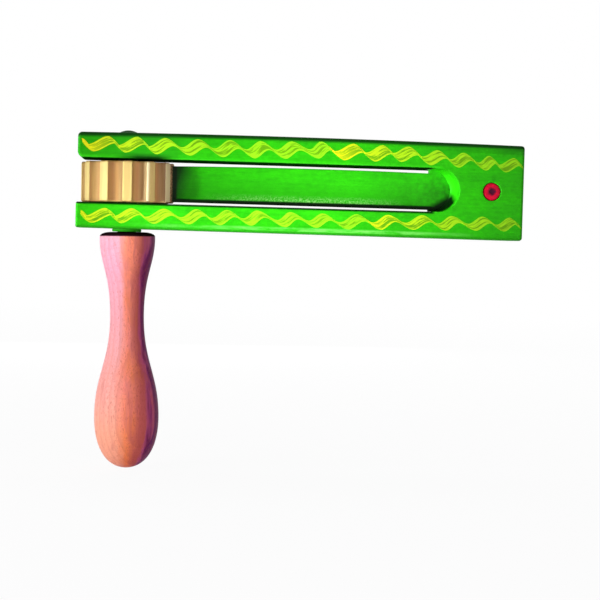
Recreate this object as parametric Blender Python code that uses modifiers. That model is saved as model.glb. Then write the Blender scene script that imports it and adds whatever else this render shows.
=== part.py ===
"""A wooden ratchet noisemaker: a slotted frame that swings round a handle, and a springy tongue that clicks
over a fluted wheel. Metres, +Z up along the handle, the frame along +X, its decorated face towards -Y. The
origin is the middle of the handle, where the hand holds it."""

import math

import bmesh
import bpy
from mathutils import Matrix, Vector
from mathutils.geometry import interpolate_bezier

# Clearance left between pieces that touch or fit into each other
GAP = 0.0003

# Frame: a block with a slot that is open at its left end
FRAME_LENGTH = 0.190
FRAME_THICKNESS = 0.024
UPPER_ARM_HEIGHT = 0.0107
LOWER_ARM_HEIGHT = 0.0102
SLOT_HEIGHT = 0.0191
FRAME_OVERHANG = 0.0011
END_BLOCK_LENGTH = 0.0265
SCOOP_RUN = 0.004
UPPER_TIP_ROUND = 0.0026
LOWER_TIP_ROUND = 0.0008
END_ROUND = 0.0015
EDGE_ROUND = 0.0006

# Wheel: a turned blank with flutes cut into its rim
WHEEL_RADIUS = 0.0197
WHEEL_TOP_CLEARANCE = 0.0012
WHEEL_EDGE_CHAMFER = 0.0009
FLUTE_COUNT = 12
FLUTE_RADIUS = 0.0031

# Tongue: a slat that tapers to a round tip, leans into a flute and fills the slot's height at its tail
TONGUE_THICKNESS = 0.003
TONGUE_TIP_THICKNESS = 0.002
TONGUE_TIP_CLEARANCE = 0.0009
TONGUE_LEAN = -0.0045
UPPER_SLIT = 0.0023
LOWER_SLIT = 0.0017
TAIL_LEAD = 0.009
TAIL_COVER = 0.0045
PEG_RADIUS = 0.00375
PEG_CHAMFER = 0.0003
PEG_RECESS = 0.0002

# Axle: a dowel from the handle's bore to a domed end above the frame
AXLE_RADIUS = 0.004
AXLE_TENON_LENGTH = 0.030
AXLE_PROUD = 0.0019
AXLE_DOME = 0.0011
AXLE_FOOT_CHAMFER = 0.0005

# Pin that keys the wheel to the axle
PIN_RADIUS = 0.001
PIN_BITE = 0.003
PIN_RECESS = 0.0008
PIN_FLUTE = 4

# Spacer between the handle and the frame
WASHER_THICKNESS = 0.0008
WASHER_WIDTH = 0.0019

# Handle: turned, with drops measured down from its top
HANDLE_LENGTH = 0.101
SHOULDER_WIDTH = 0.0021
RIM_RADIUS = 0.0114
RIM_DROP = 0.0023
NECK_WALL = 0.00255
NECK_DROP = 0.035
BULB_RADIUS = 0.0136
BULB_DROP = 0.080
RIM_LEAN = math.radians(7)
RIM_EASE = 0.0067
NECK_EASE_UP = 0.010
NECK_EASE_DOWN = 0.017
BULB_EASE = 0.017
ROUND_END_SHARE = 0.5523

# Facets
TURN_STEPS = 40
WHEEL_STEPS = 72
FLUTE_FACETS = 20
CURVE_STEPS = 8
BEND_STEPS = 16
CUT_OVERRUN = 0.002

# Levels and places that follow from the sizes above
HANDLE_TOP = HANDLE_LENGTH / 2
WASHER_BOTTOM = HANDLE_TOP + GAP
FRAME_BOTTOM = WASHER_BOTTOM + WASHER_THICKNESS + GAP
SLOT_BOTTOM = FRAME_BOTTOM + LOWER_ARM_HEIGHT
SLOT_TOP = SLOT_BOTTOM + SLOT_HEIGHT
SLOT_MIDDLE = (SLOT_BOTTOM + SLOT_TOP) / 2
FRAME_TOP = SLOT_TOP + UPPER_ARM_HEIGHT
WHEEL_HEIGHT = SLOT_HEIGHT - GAP - WHEEL_TOP_CLEARANCE
WHEEL_MIDDLE = SLOT_BOTTOM + GAP + WHEEL_HEIGHT / 2
FRAME_LEFT = -WHEEL_RADIUS - FRAME_OVERHANG
FRAME_RIGHT = FRAME_LEFT + FRAME_LENGTH
SCOOP_END = FRAME_RIGHT - END_BLOCK_LENGTH
SLOT_END = SCOOP_END - SCOOP_RUN
SLIT_END = SLOT_END - TAIL_LEAD
TAIL_END = FRAME_RIGHT - TAIL_COVER
PEG_X = (SCOOP_END + FRAME_RIGHT) / 2
FLUTE_ROOT = WHEEL_RADIUS - FLUTE_RADIUS
TIP_REACH = FLUTE_ROOT + TONGUE_TIP_CLEARANCE + TONGUE_TIP_THICKNESS / 2
FLUTE_PHASE = math.asin(TONGUE_LEAN / TIP_REACH)
TONGUE_TIP = TIP_REACH * math.cos(FLUTE_PHASE)
AXLE_BORE = AXLE_RADIUS + GAP
ALONG_Y = Matrix.Rotation(math.pi / 2, 4, "X")


def clear_scene():
    for obj in list(bpy.data.objects):
        bpy.data.objects.remove(obj, do_unlink=True)


def add_collection(name):
    collection = bpy.data.collections.new(name)
    bpy.context.scene.collection.children.link(collection)
    return collection


def add_empty(name, place, parent=None):
    """A joint's axis or a body's reference point, with no shape of its own."""
    empty = bpy.data.objects.new(name, None)
    PARTS.objects.link(empty)
    empty.parent = parent
    empty.location = Vector(place) - (parent.matrix_world.translation if parent else Vector())
    bpy.context.view_layer.update()
    return empty


def finish(name, colour, roughness, metallic=0.0):
    """A plain finish in one colour, for one piece."""
    made = bpy.data.materials.new(name + "_finish")
    made.use_nodes = True
    shader = made.node_tree.nodes["Principled BSDF"]
    shader.inputs["Base Color"].default_value = (*colour, 1.0)
    shader.inputs["Roughness"].default_value = roughness
    shader.inputs["Metallic"].default_value = metallic
    return made


def add_piece(name, mesh, body, look, turn=None):
    """One piece of the toy, whose mesh is written about its body's reference point."""
    piece = bpy.data.objects.new(name, mesh)
    PARTS.objects.link(piece)
    piece.parent = body
    if turn is not None:
        piece.matrix_local = turn
    mesh.materials.append(finish(name, *look))
    bpy.context.view_layer.update()
    return piece


def add_cutter(name, mesh, body, turn):
    """A shape to cut with, which is no piece of the toy."""
    cutter = bpy.data.objects.new(name, mesh)
    CUTTERS.objects.link(cutter)
    cutter.parent = body
    cutter.matrix_local = turn
    cutter.hide_render = True
    cutter.display_type = "WIRE"
    return cutter


def cut(piece, *cutters):
    for cutter in cutters:
        boolean = piece.modifiers.new(cutter.name, "BOOLEAN")
        boolean.operation = "DIFFERENCE"
        boolean.object = cutter


def smoothed(mesh):
    """Round sides shaded smooth, edges sharper than 35 degrees kept crisp."""
    mesh.shade_smooth()
    mesh.set_sharp_from_angle(angle=math.radians(35))
    return mesh


def mesh_from(build):
    made = bmesh.new()
    build(made)
    mesh = bpy.data.meshes.new("solid")
    made.to_mesh(mesh)
    made.free()
    return mesh


def box_mesh(low, high):
    size = Vector(high) - Vector(low)
    middle = (Vector(high) + Vector(low)) / 2
    place = Matrix.Translation(middle) @ Matrix.Diagonal((*size, 1.0))
    return mesh_from(lambda made: bmesh.ops.create_cube(made, size=1.0, matrix=place))


def cone_mesh(bottom_radius, top_radius, low, high, facets):
    """A cone or cylinder on the Z axis from low to high."""
    place = Matrix.Translation((0, 0, (low + high) / 2))
    return mesh_from(
        lambda made: bmesh.ops.create_cone(
            made,
            cap_ends=True,
            segments=facets,
            radius1=bottom_radius,
            radius2=top_radius,
            depth=high - low,
            matrix=place,
        )
    )


def turned(name, profile, body, look, steps=TURN_STEPS, turn=None):
    """A profile of (radius, height) points, down its outer side, swept round the Z axis."""
    mesh = bpy.data.meshes.new(name)
    points = [(radius, 0.0, height) for radius, height in profile]
    mesh.from_pydata(points, [(i, i + 1) for i in range(len(points) - 1)], [])
    piece = add_piece(name, mesh, body, look, turn)
    screw = piece.modifiers.new("Turn", "SCREW")
    screw.steps = steps
    screw.render_steps = steps
    screw.use_merge_vertices = True
    screw.merge_threshold = 0.00001
    return piece


def closed(profile):
    return [*profile, profile[0]]


def rounded_outline(corners):
    """The points of a closed outline of (x, y, radius) corners, each turned by an arc of that radius."""
    points = []
    for i, (x, y, radius) in enumerate(corners):
        here = Vector((x, y))
        before = (Vector(corners[i - 1][:2]) - here).normalized()
        after = (Vector(corners[(i + 1) % len(corners)][:2]) - here).normalized()
        half = before.angle(after) / 2
        centre = here + (before + after).normalized() * radius / math.sin(half)
        start = here + before * radius / math.tan(half) - centre
        sweep = start.angle_signed(here + after * radius / math.tan(half) - centre)
        for step in range(CURVE_STEPS + 1):
            spoke = start.copy()
            spoke.rotate(Matrix.Rotation(-sweep * step / CURVE_STEPS, 2))
            points.append(centre + spoke)
    return points


def plate_mesh(outline, thickness, edge_round=0.0):
    """A flat outline with the given thickness about the XY plane, its long edges eased, as a welded mesh."""
    flat = bpy.data.curves.new("outline", "CURVE")
    flat.dimensions = "2D"
    flat.fill_mode = "BOTH"
    flat.extrude = thickness / 2 - edge_round
    flat.bevel_depth = edge_round
    flat.bevel_resolution = 1
    flat.offset = -edge_round
    spline = flat.splines.new("POLY")
    spline.points.add(len(outline) - 1)
    for point, (x, y) in zip(spline.points, outline):
        point.co = (x, y, 0.0, 1.0)
    spline.use_cyclic_u = True
    holder = bpy.data.objects.new("outline", flat)
    PARTS.objects.link(holder)
    seen = holder.evaluated_get(bpy.context.evaluated_depsgraph_get())
    mesh = bpy.data.meshes.new_from_object(seen)
    bpy.data.objects.remove(holder)
    welded = bmesh.new()
    welded.from_mesh(mesh)
    bmesh.ops.remove_doubles(welded, verts=welded.verts, dist=0.000001)
    bmesh.ops.recalc_face_normals(welded, faces=welded.faces)
    welded.to_mesh(mesh)
    welded.free()
    return mesh


def make_frame(body):
    """The block, with its slot, scooped slot end, axle holes, mortise for the tongue and hole for the peg."""
    slot_low = SLOT_BOTTOM - SLOT_MIDDLE
    slot_high = SLOT_TOP - SLOT_MIDDLE
    low = FRAME_BOTTOM - SLOT_MIDDLE
    high = FRAME_TOP - SLOT_MIDDLE
    slot_round = SLOT_HEIGHT / 2
    outline = rounded_outline(
        [
            (FRAME_LEFT, low, LOWER_TIP_ROUND),
            (FRAME_RIGHT, low, END_ROUND),
            (FRAME_RIGHT, high, END_ROUND),
            (FRAME_LEFT, high, UPPER_TIP_ROUND),
            (FRAME_LEFT, slot_high, UPPER_TIP_ROUND),
            (SLOT_END, slot_high, slot_round),
            (SLOT_END, slot_low, slot_round),
            (FRAME_LEFT, slot_low, LOWER_TIP_ROUND),
        ]
    )
    upright = plate_mesh(outline, FRAME_THICKNESS, EDGE_ROUND)
    upright.transform(ALONG_Y)
    frame = add_piece("frame", smoothed(upright), body, ((0.022, 0.402, 0.013), 0.45))
    reach = FRAME_THICKNESS / 2 + CUT_OVERRUN
    axle_hole = add_cutter(
        "axle_hole",
        cone_mesh(AXLE_BORE, AXLE_BORE, low - CUT_OVERRUN, high + CUT_OVERRUN, TURN_STEPS),
        body,
        Matrix(),
    )
    mortise_half = TONGUE_THICKNESS / 2 + GAP
    mortise = add_cutter(
        "mortise",
        box_mesh(
            (SLIT_END, -mortise_half, slot_low),
            (TAIL_END + GAP, mortise_half, slot_high),
        ),
        body,
        Matrix(),
    )
    peg_bore = PEG_RADIUS + GAP
    peg_hole = add_cutter(
        "peg_hole",
        cone_mesh(peg_bore, peg_bore, -reach, reach, TURN_STEPS),
        body,
        Matrix.Translation((PEG_X, 0, 0)) @ ALONG_Y,
    )
    scoop_floor = TONGUE_THICKNESS / 2
    scoop_slope = SCOOP_RUN / (FRAME_THICKNESS / 2 - scoop_floor)
    scoops = []
    for name, facing in (("front_scoop", 0.0), ("back_scoop", math.pi)):
        narrow = slot_round - SCOOP_RUN
        scoop = cone_mesh(narrow, slot_round + CUT_OVERRUN * scoop_slope, scoop_floor, reach, TURN_STEPS)
        place = Matrix.Translation((SCOOP_END - slot_round, 0, 0))
        turn = Matrix.Rotation(facing, 4, "Z") @ ALONG_Y
        scoops.append(add_cutter(name, scoop, body, place @ turn))
    cut(frame, axle_hole, *scoops, mortise, peg_hole)


def make_tongue_tail(body):
    """The fixed end of the slat: it fills the slot's height and goes into the mortise."""
    half = TONGUE_THICKNESS / 2
    tail = add_piece(
        "tongue_tail",
        box_mesh(
            (SLIT_END + GAP, -half, -SLOT_HEIGHT / 2 + GAP),
            (TAIL_END, half, SLOT_HEIGHT / 2 - GAP),
        ),
        body,
        ((0.022, 0.402, 0.013), 0.5),
    )
    peg_bore = PEG_RADIUS + GAP
    hole = add_cutter(
        "tail_peg_hole",
        cone_mesh(peg_bore, peg_bore, -FRAME_THICKNESS / 2, FRAME_THICKNESS / 2, TURN_STEPS),
        body,
        Matrix.Translation((PEG_X, 0, 0)) @ ALONG_Y,
    )
    cut(tail, hole)


def blade_outline():
    """Along one side of the bent slat, round its tip and back along the other side, about the flex axis."""
    free_length = SLIT_END - TONGUE_TIP
    root = TONGUE_THICKNESS / 2
    thin = TONGUE_TIP_THICKNESS / 2
    one_side = []
    other_side = []
    for step in range(BEND_STEPS + 1):
        share = step / BEND_STEPS
        half = root + (thin - root) * share
        sag = TONGUE_LEAN * (3 * share**2 - share**3) / 2
        one_side.append((-free_length * share, sag + half))
        other_side.append((-free_length * share, sag - half))
    tip = []
    for step in range(1, CURVE_STEPS):
        angle = math.pi / 2 + math.pi * step / CURVE_STEPS
        tip.append((-free_length + thin * math.cos(angle), TONGUE_LEAN + thin * math.sin(angle)))
    return [*one_side, *tip, *reversed(other_side)]


def make_tongue_blade(body):
    """The free part of the slat, bent a little so that its tip lies in a flute of the wheel."""
    height = SLOT_HEIGHT - UPPER_SLIT - LOWER_SLIT
    rise = (LOWER_SLIT - UPPER_SLIT) / 2
    mesh = plate_mesh(blade_outline(), height)
    mesh.transform(Matrix.Translation((0, 0, rise)))
    add_piece("tongue_blade", smoothed(mesh), body, ((0.022, 0.402, 0.013), 0.5))


def make_tongue_peg(body):
    """The round peg through the end block and the tongue's tail."""
    end = FRAME_THICKNESS / 2 - PEG_RECESS
    shank = end - PEG_CHAMFER
    profile = [
        (0.0, end),
        (PEG_RADIUS - PEG_CHAMFER, end),
        (PEG_RADIUS, shank),
        (PEG_RADIUS, -shank),
        (PEG_RADIUS - PEG_CHAMFER, -end),
        (0.0, -end),
    ]
    place = Matrix.Translation((PEG_X, 0, 0)) @ ALONG_Y
    turned("tongue_peg", profile, body, ((0.62, 0.02, 0.03), 0.5), turn=place)


def make_spacer_washer(body):
    """The thin collar that the frame runs on."""
    low = WASHER_BOTTOM - SLOT_MIDDLE
    high = low + WASHER_THICKNESS
    outer = AXLE_BORE + WASHER_WIDTH
    profile = closed([(AXLE_BORE, high), (outer, high), (outer, low), (AXLE_BORE, low)])
    turned("spacer_washer", profile, body, ((0.02, 0.22, 0.02), 0.6))


def pin_direction():
    """The turn that lays the Z axis along the flute that the pin is driven through."""
    angle = FLUTE_PHASE + PIN_FLUTE * math.tau / FLUTE_COUNT
    return Matrix.Rotation(angle, 4, "Z") @ Matrix.Rotation(math.pi / 2, 4, "Y")


def pin_hole(name, body, near, far):
    bore = PIN_RADIUS + GAP
    place = Matrix.Translation((0, 0, WHEEL_MIDDLE)) @ pin_direction()
    return add_cutter(name, cone_mesh(bore, bore, near, far, FLUTE_FACETS), body, place)


def make_ratchet_wheel(body):
    """The turned blank, its flutes, and the hole for the pin."""
    half = WHEEL_HEIGHT / 2
    edge = WHEEL_RADIUS - WHEEL_EDGE_CHAMFER
    shoulder = half - WHEEL_EDGE_CHAMFER
    profile = closed(
        [
            (AXLE_BORE, half),
            (edge, half),
            (WHEEL_RADIUS, shoulder),
            (WHEEL_RADIUS, -shoulder),
            (edge, -half),
            (AXLE_BORE, -half),
        ]
    )
    middle = Matrix.Translation((0, 0, WHEEL_MIDDLE))
    look = ((0.80, 0.52, 0.20), 0.6)
    wheel = turned("ratchet_wheel", profile, body, look, WHEEL_STEPS, middle)
    reach = half + CUT_OVERRUN
    flutes = []
    for i in range(FLUTE_COUNT):
        turn = Matrix.Rotation(FLUTE_PHASE + i * math.tau / FLUTE_COUNT, 4, "Z")
        place = middle @ turn @ Matrix.Translation((WHEEL_RADIUS, 0, 0))
        mesh = cone_mesh(FLUTE_RADIUS, FLUTE_RADIUS, -reach, reach, FLUTE_FACETS)
        flutes.append(add_cutter(f"flute_{i + 1}", mesh, body, place))
    bore_side = AXLE_RADIUS - CUT_OVERRUN
    cut(wheel, *flutes, pin_hole("wheel_pin_hole", body, bore_side, WHEEL_RADIUS))


def make_wheel_pin(body):
    """The brad from the root of a rear flute into the axle."""
    mesh = cone_mesh(PIN_RADIUS, PIN_RADIUS, AXLE_RADIUS - PIN_BITE, FLUTE_ROOT - PIN_RECESS, FLUTE_FACETS)
    place = Matrix.Translation((0, 0, WHEEL_MIDDLE)) @ pin_direction()
    add_piece("wheel_pin", smoothed(mesh), body, ((0.35, 0.34, 0.33), 0.4, 1.0), place)


def make_axle(body):
    """The dowel, with its domed upper end and a hole for the wheel's pin."""
    dome_radius = (AXLE_RADIUS**2 + AXLE_DOME**2) / (2 * AXLE_DOME)
    dome_centre = FRAME_TOP + AXLE_PROUD - dome_radius
    dome_angle = math.asin(AXLE_RADIUS / dome_radius)
    profile = []
    for step in range(CURVE_STEPS + 1):
        angle = dome_angle * step / CURVE_STEPS
        profile.append((dome_radius * math.sin(angle), dome_centre + dome_radius * math.cos(angle)))
    foot = HANDLE_TOP - AXLE_TENON_LENGTH
    profile.append((AXLE_RADIUS, foot + AXLE_FOOT_CHAMFER))
    profile.append((AXLE_RADIUS - AXLE_FOOT_CHAMFER, foot))
    profile.append((0.0, foot))
    axle = turned("axle", profile, body, ((0.03, 0.24, 0.03), 0.55))
    hole_end = AXLE_RADIUS - PIN_BITE - GAP
    cut(axle, pin_hole("axle_pin_hole", body, hole_end, AXLE_RADIUS + CUT_OVERRUN))


def bend(start, start_pull, end_pull, end):
    """The points of a smooth stretch of a profile, without its first."""
    knots = [(radius, height, 0.0) for radius, height in (start, start_pull, end_pull, end)]
    points = interpolate_bezier(*knots, CURVE_STEPS + 1)
    return [(point.x, point.y) for point in points[1:]]


def make_handle(body):
    """The turned handle, with a blind bore for the axle in its top."""
    neck_radius = AXLE_BORE + NECK_WALL
    bottom = -HANDLE_LENGTH / 2
    bore_end = HANDLE_TOP - AXLE_TENON_LENGTH - GAP
    rim = (RIM_RADIUS, HANDLE_TOP - RIM_DROP)
    rim_pull = (rim[0] - RIM_EASE * math.sin(RIM_LEAN), rim[1] - RIM_EASE * math.cos(RIM_LEAN))
    neck = (neck_radius, HANDLE_TOP - NECK_DROP)
    bulb = (BULB_RADIUS, HANDLE_TOP - BULB_DROP)
    end_rise = (bulb[1] - bottom) * ROUND_END_SHARE
    profile = [
        (0.0, bore_end),
        (AXLE_BORE, bore_end),
        (AXLE_BORE, HANDLE_TOP),
        (AXLE_BORE + SHOULDER_WIDTH, HANDLE_TOP),
        rim,
    ]
    profile += bend(rim, rim_pull, (neck_radius, neck[1] + NECK_EASE_UP), neck)
    profile += bend(
        neck, (neck_radius, neck[1] - NECK_EASE_DOWN), (BULB_RADIUS, bulb[1] + BULB_EASE), bulb
    )
    round_end = bend(
        bulb, (BULB_RADIUS, bulb[1] - end_rise), (BULB_RADIUS * ROUND_END_SHARE, bottom), (0.0, bottom)
    )
    profile += [*round_end[:-1], (0.0, bottom)]
    turned("handle", profile, body, ((0.62, 0.27, 0.14), 0.55))


clear_scene()
PARTS = add_collection("ratchet_noisemaker")
CUTTERS = add_collection("cutters")
grip = add_empty("grip", (0, 0, 0))
spin = add_empty("spin_axis", (0, 0, SLOT_MIDDLE), grip)
flex = add_empty("flex_axis", (SLIT_END, 0, SLOT_MIDDLE), spin)
make_handle(grip)
make_axle(grip)
make_ratchet_wheel(grip)
make_wheel_pin(grip)
make_frame(spin)
make_tongue_tail(spin)
make_tongue_peg(spin)
make_spacer_washer(spin)
make_tongue_blade(flex)
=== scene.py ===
# %% [markdown]
# # Dressing a wooden ratchet noisemaker
#
# The toy is swung by its handle. A painted frame turns round a fluted wheel, and a springy tongue inside
# the frame clicks over the wheel's teeth. A mechanical model already says where each piece sits and how it
# moves. This lesson loads it, leaves it untouched, and builds the surfaces that one sees around it: painted
# wood, a hand-painted ribbon border, bare turned wood.

# %% Load the mechanical model
import math
import random
from functools import reduce

import bmesh
import bpy
from mathutils import Matrix, Vector
from mathutils.geometry import interpolate_bezier


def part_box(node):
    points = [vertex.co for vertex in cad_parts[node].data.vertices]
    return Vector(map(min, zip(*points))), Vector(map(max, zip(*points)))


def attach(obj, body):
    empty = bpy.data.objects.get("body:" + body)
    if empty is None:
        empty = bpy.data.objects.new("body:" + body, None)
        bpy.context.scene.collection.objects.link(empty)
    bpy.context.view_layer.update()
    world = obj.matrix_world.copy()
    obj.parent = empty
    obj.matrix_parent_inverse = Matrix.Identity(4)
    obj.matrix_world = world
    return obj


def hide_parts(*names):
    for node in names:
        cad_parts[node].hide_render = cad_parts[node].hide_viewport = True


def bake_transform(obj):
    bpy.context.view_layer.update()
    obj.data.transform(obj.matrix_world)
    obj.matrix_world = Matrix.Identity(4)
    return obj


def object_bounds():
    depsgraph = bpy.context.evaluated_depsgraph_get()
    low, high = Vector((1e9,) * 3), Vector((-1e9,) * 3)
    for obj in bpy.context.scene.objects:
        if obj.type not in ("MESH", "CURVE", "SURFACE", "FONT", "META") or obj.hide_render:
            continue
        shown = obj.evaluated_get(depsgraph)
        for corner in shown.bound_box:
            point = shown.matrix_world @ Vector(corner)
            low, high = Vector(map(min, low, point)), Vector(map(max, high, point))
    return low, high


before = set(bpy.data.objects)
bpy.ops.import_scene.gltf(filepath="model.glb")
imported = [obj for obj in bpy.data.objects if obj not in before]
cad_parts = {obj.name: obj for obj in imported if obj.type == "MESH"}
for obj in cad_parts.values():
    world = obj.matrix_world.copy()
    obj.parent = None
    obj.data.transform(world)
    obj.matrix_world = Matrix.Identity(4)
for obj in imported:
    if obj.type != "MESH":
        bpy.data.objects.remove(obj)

cad_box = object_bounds()


def in_mm(box):
    """The three sides of a box in millimetres."""
    return [round(1000 * side, 1) for side in box[1] - box[0]]


print("mechanical model:", in_mm(cad_box), "mm, nodes", sorted(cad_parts))

# %% [markdown]
# ## Where things are
#
# The model's own boxes give most places, so that the surfaces follow the model. A few sizes can't be read
# from a box, such as how far the slot runs or how wide the slits beside the tongue are. They are written
# here once, in metres. The last three are small: wood that was planed and sanded by hand is never quite as
# straight as a drawing.

# %% Places and sizes that several pieces share
FIT = 0.0003  # play between two pieces
WHEEL_RADIUS = 0.0197
AXLE_RADIUS = 0.004
SLIT_END = 0.1297  # the slits beside the tongue end here
SLOT_END = 0.1387  # the slot itself ends here
SCOOP_END = 0.1413  # the scooped end reaches as far as this on both faces
UPPER_SLIT = 0.0023
LOWER_SLIT = 0.0015
FLOOR_RISE = 0.0006  # the lower arm is this much thicker than drawn
TOP_CROWN = 0.0007  # the upper edge bows up this much in its middle
END_DROP = 0.0007  # the right end reaches this much further down

block_low, block_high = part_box("frame")
tail_low, tail_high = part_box("tongue_tail")
blade_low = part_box("tongue_blade")[0]
wheel_low, wheel_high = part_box("ratchet_wheel")
peg_low, peg_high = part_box("tongue_peg")
slot_low = tail_low.z - FIT + FLOOR_RISE
slot_high = tail_high.z + FIT
slot_middle = (slot_low + slot_high) / 2
wheel_middle = (wheel_low.z + wheel_high.z) / 2
half_depth = block_high.y
print(f"slot from {1000 * slot_low:.1f} to {1000 * slot_high:.1f} mm above the grip")
print(f"frame {2000 * half_depth:.0f} mm deep")

# %% [markdown]
# ## Camera
#
# A small toy is photographed from a little over half a metre with a long lens, which keeps the frame's
# edges nearly parallel. The camera stands slightly to the left and about level with the top of the handle,
# so it looks up a little at the undersides of both arms. It is built from an orbit, a turn and a rise round
# the point it aims at, because those are the numbers one changes when matching a picture. A small roll
# tilts the picture.

# %% Camera on an orbit
AIM = Vector((0.0751, 0.0, 0.0232))
ORBIT = 0.65
TURN = math.radians(-5.0)
RISE = math.radians(2.2)
ROLL = math.radians(1.55)
FOCAL_PIXELS = 1503
PICTURE_PIXELS = 600
FILM_WIDTH = 36.0

away = Vector((math.sin(TURN) * math.cos(RISE), -math.cos(TURN) * math.cos(RISE), math.sin(RISE)))
level = Vector((0, 0, 1)).cross(away).normalized()
upright = away.cross(level)
side = level * math.cos(ROLL) + upright * math.sin(ROLL)
top = upright * math.cos(ROLL) - level * math.sin(ROLL)
stand = AIM + away * ORBIT

lens = bpy.data.cameras.new("camera")
lens.sensor_width = FILM_WIDTH
lens.lens = FILM_WIDTH * FOCAL_PIXELS / PICTURE_PIXELS
lens.clip_start = 0.01
camera = bpy.data.objects.new("camera", lens)
camera.matrix_world = Matrix.Translation(stand) @ Matrix((side, top, away)).transposed().to_4x4()
bpy.context.scene.collection.objects.link(camera)
bpy.context.scene.camera = camera
bpy.context.scene.view_settings.view_transform = "Standard"
print(f"lens {lens.lens:.1f} mm at {[round(1000 * x) for x in stand]} mm")

# %% [markdown]
# ## Nodes in few words
#
# Every finish below is a small node tree. Writing each node out in full would hide the idea, so helpers do
# the wiring. `grow` adds a node and fills or links its sockets. Numbers are joined by `product`, `either`
# and `weighted`, and turned into masks from 0 to 1 by `between` and `band`, whose limits `from_edge` counts
# from an edge of the piece. Numbers that are the same all over a surface go straight onto the shader's own
# sockets.


# %% Helpers that join numbers
def grow(tree, kind, sockets=(), **settings):
    """A new node. A socket given a number or a colour is set, and one given another socket is linked."""
    node = tree.nodes.new(kind)
    for name, value in settings.items():
        setattr(node, name, value)
    for name, value in dict(sockets).items():
        if isinstance(value, bpy.types.NodeSocket):
            tree.links.new(value, node.inputs[name])
        else:
            node.inputs[name].default_value = value
    return node


def sums(tree, operation, first, second=0.0):
    """One step of arithmetic."""
    return grow(tree, "ShaderNodeMath", {0: first, 1: second}, operation=operation).outputs[0]


def product(tree, *values):
    """All values multiplied: a mask that is full only where every one of them is."""
    return reduce(lambda one, other: sums(tree, "MULTIPLY", one, other), values)


def either(tree, *values):
    """The largest of the values: a mask that is full where any one of them is."""
    return reduce(lambda one, other: sums(tree, "MAXIMUM", one, other), values)


def weighted(tree, *pairs):
    """Patterns added up, each given as (pattern, weight)."""
    shares = [product(tree, pattern, weight) for pattern, weight in pairs]
    return reduce(lambda one, other: sums(tree, "ADD", one, other), shares)


def between(tree, value, low, high, to_low=0.0, to_high=1.0):
    """A value's stretch from low to high, spread over another stretch and held at its ends."""
    sockets = {"Value": value, "From Min": low, "From Max": high, "To Min": to_low, "To Max": to_high}
    return grow(tree, "ShaderNodeMapRange", sockets).outputs["Result"]


def band(tree, value, start, full, still_full, end):
    """0 before start and after end, 1 from full to still_full."""
    return product(tree, between(tree, value, start, full), between(tree, value, end, still_full))


def from_edge(edge, offsets):
    """Places on an axis, given by how far they lie above or beyond an edge."""
    return [edge + offset for offset in offsets]


print("helpers for numbers ready")

# %% [markdown]
# The other helpers deal with colours and with places on a piece. `ramp` turns a number into a colour and
# `blend_colour` mixes two. `speckle` is noise that can be stretched along the grain, the one pattern that
# wood and brushed paint share. A pattern is tied to the piece's own place, so that it moves with the piece.
# A piece that bends needs more care: its points wander, so the place and the facing that they have at rest
# are written on the mesh and read from there.


# %% Helpers for colours and places
def ramp(tree, value, *stops):
    """Colour stops (place, colour) along a value from 0 to 1."""
    node = grow(tree, "ShaderNodeValToRGB", {"Fac": value})
    while len(node.color_ramp.elements) < len(stops):
        node.color_ramp.elements.new(0.5)
    for element, (place, colour) in zip(node.color_ramp.elements, stops):
        element.position = place
        element.color = (*colour, 1.0)
    return node.outputs["Color"]


def blend_colour(tree, share, one, other):
    """The first colour where share is 0, the other where it is 1."""
    paired = [(*c, 1.0) if isinstance(c, tuple) else c for c in (one, other)]
    node = grow(tree, "ShaderNodeMix", {0: share, 6: paired[0], 7: paired[1]}, data_type="RGBA")
    return node.outputs[2]


def speckle(tree, place, stretch, detail):
    """Noise whose patches are 1 / stretch metres long on each axis."""
    scaled = grow(tree, "ShaderNodeMapping", {"Vector": place, "Scale": stretch})
    sockets = {"Vector": scaled.outputs[0], "Scale": 1.0, "Detail": detail, "Roughness": 0.6}
    return grow(tree, "ShaderNodeTexNoise", sockets).outputs["Fac"]


def split(tree, vector):
    """The x, y and z of a place or a direction."""
    return grow(tree, "ShaderNodeSeparateXYZ", {0: vector}).outputs


def stored(tree, name, output="Fac"):
    """What was written on the points of the mesh under a name."""
    return grow(tree, "ShaderNodeAttribute", attribute_name=name).outputs[output]


def source_of(tree, bends=False):
    """A surface's place and facing. A piece that bends has both written on its mesh, as they are at rest."""
    if bends:
        return stored(tree, "rest_place", "Vector"), stored(tree, "rest_facing", "Vector")
    source = grow(tree, "ShaderNodeTexCoord").outputs
    return source["Object"], source["Normal"]


def new_finish(name, bends=False):
    """A material, its tree, its shader and the place on the piece that its pattern is fixed to."""
    material = bpy.data.materials.new(name)
    material.use_nodes = True
    tree = material.node_tree
    return material, tree, tree.nodes["Principled BSDF"], source_of(tree, bends)[0]


def reopen(material):
    """The tree, the shader and the colour of a finish that is to get another layer."""
    tree = material.node_tree
    shader = tree.nodes["Principled BSDF"]
    return tree, shader, shader.inputs["Base Color"].links[0].from_socket


def relief(tree, shader, height, depth):
    """Small unevenness of the given depth in metres."""
    bump = grow(tree, "ShaderNodeBump", {"Height": height, "Distance": depth, "Strength": 1.0})
    tree.links.new(bump.outputs[0], shader.inputs["Normal"])


print("helpers for colours and places ready")

# %% [markdown]
# ## Floor and room
#
# The picture shows the toy against plain white. A brightly lit floor could give that, but the light it
# throws back would wash out the toy. So the floor and the room only look white: they glow for the camera
# and in reflections, and are a pale floor and a dim room for all other light. The floor glows a little less
# near the toy, where its shadow lies.

# %% Floor
FLOOR_HALF = 6.0
FLOOR_PALE = (0.86, 0.86, 0.86, 1.0)
WHITE = (1.0, 1.0, 1.0, 1.0)
NEAR_GLOW = 0.94
FAR_GLOW_AT = 1.6
UNDER_TOY = (0.02, 0.0, cad_box[0].z)


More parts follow.
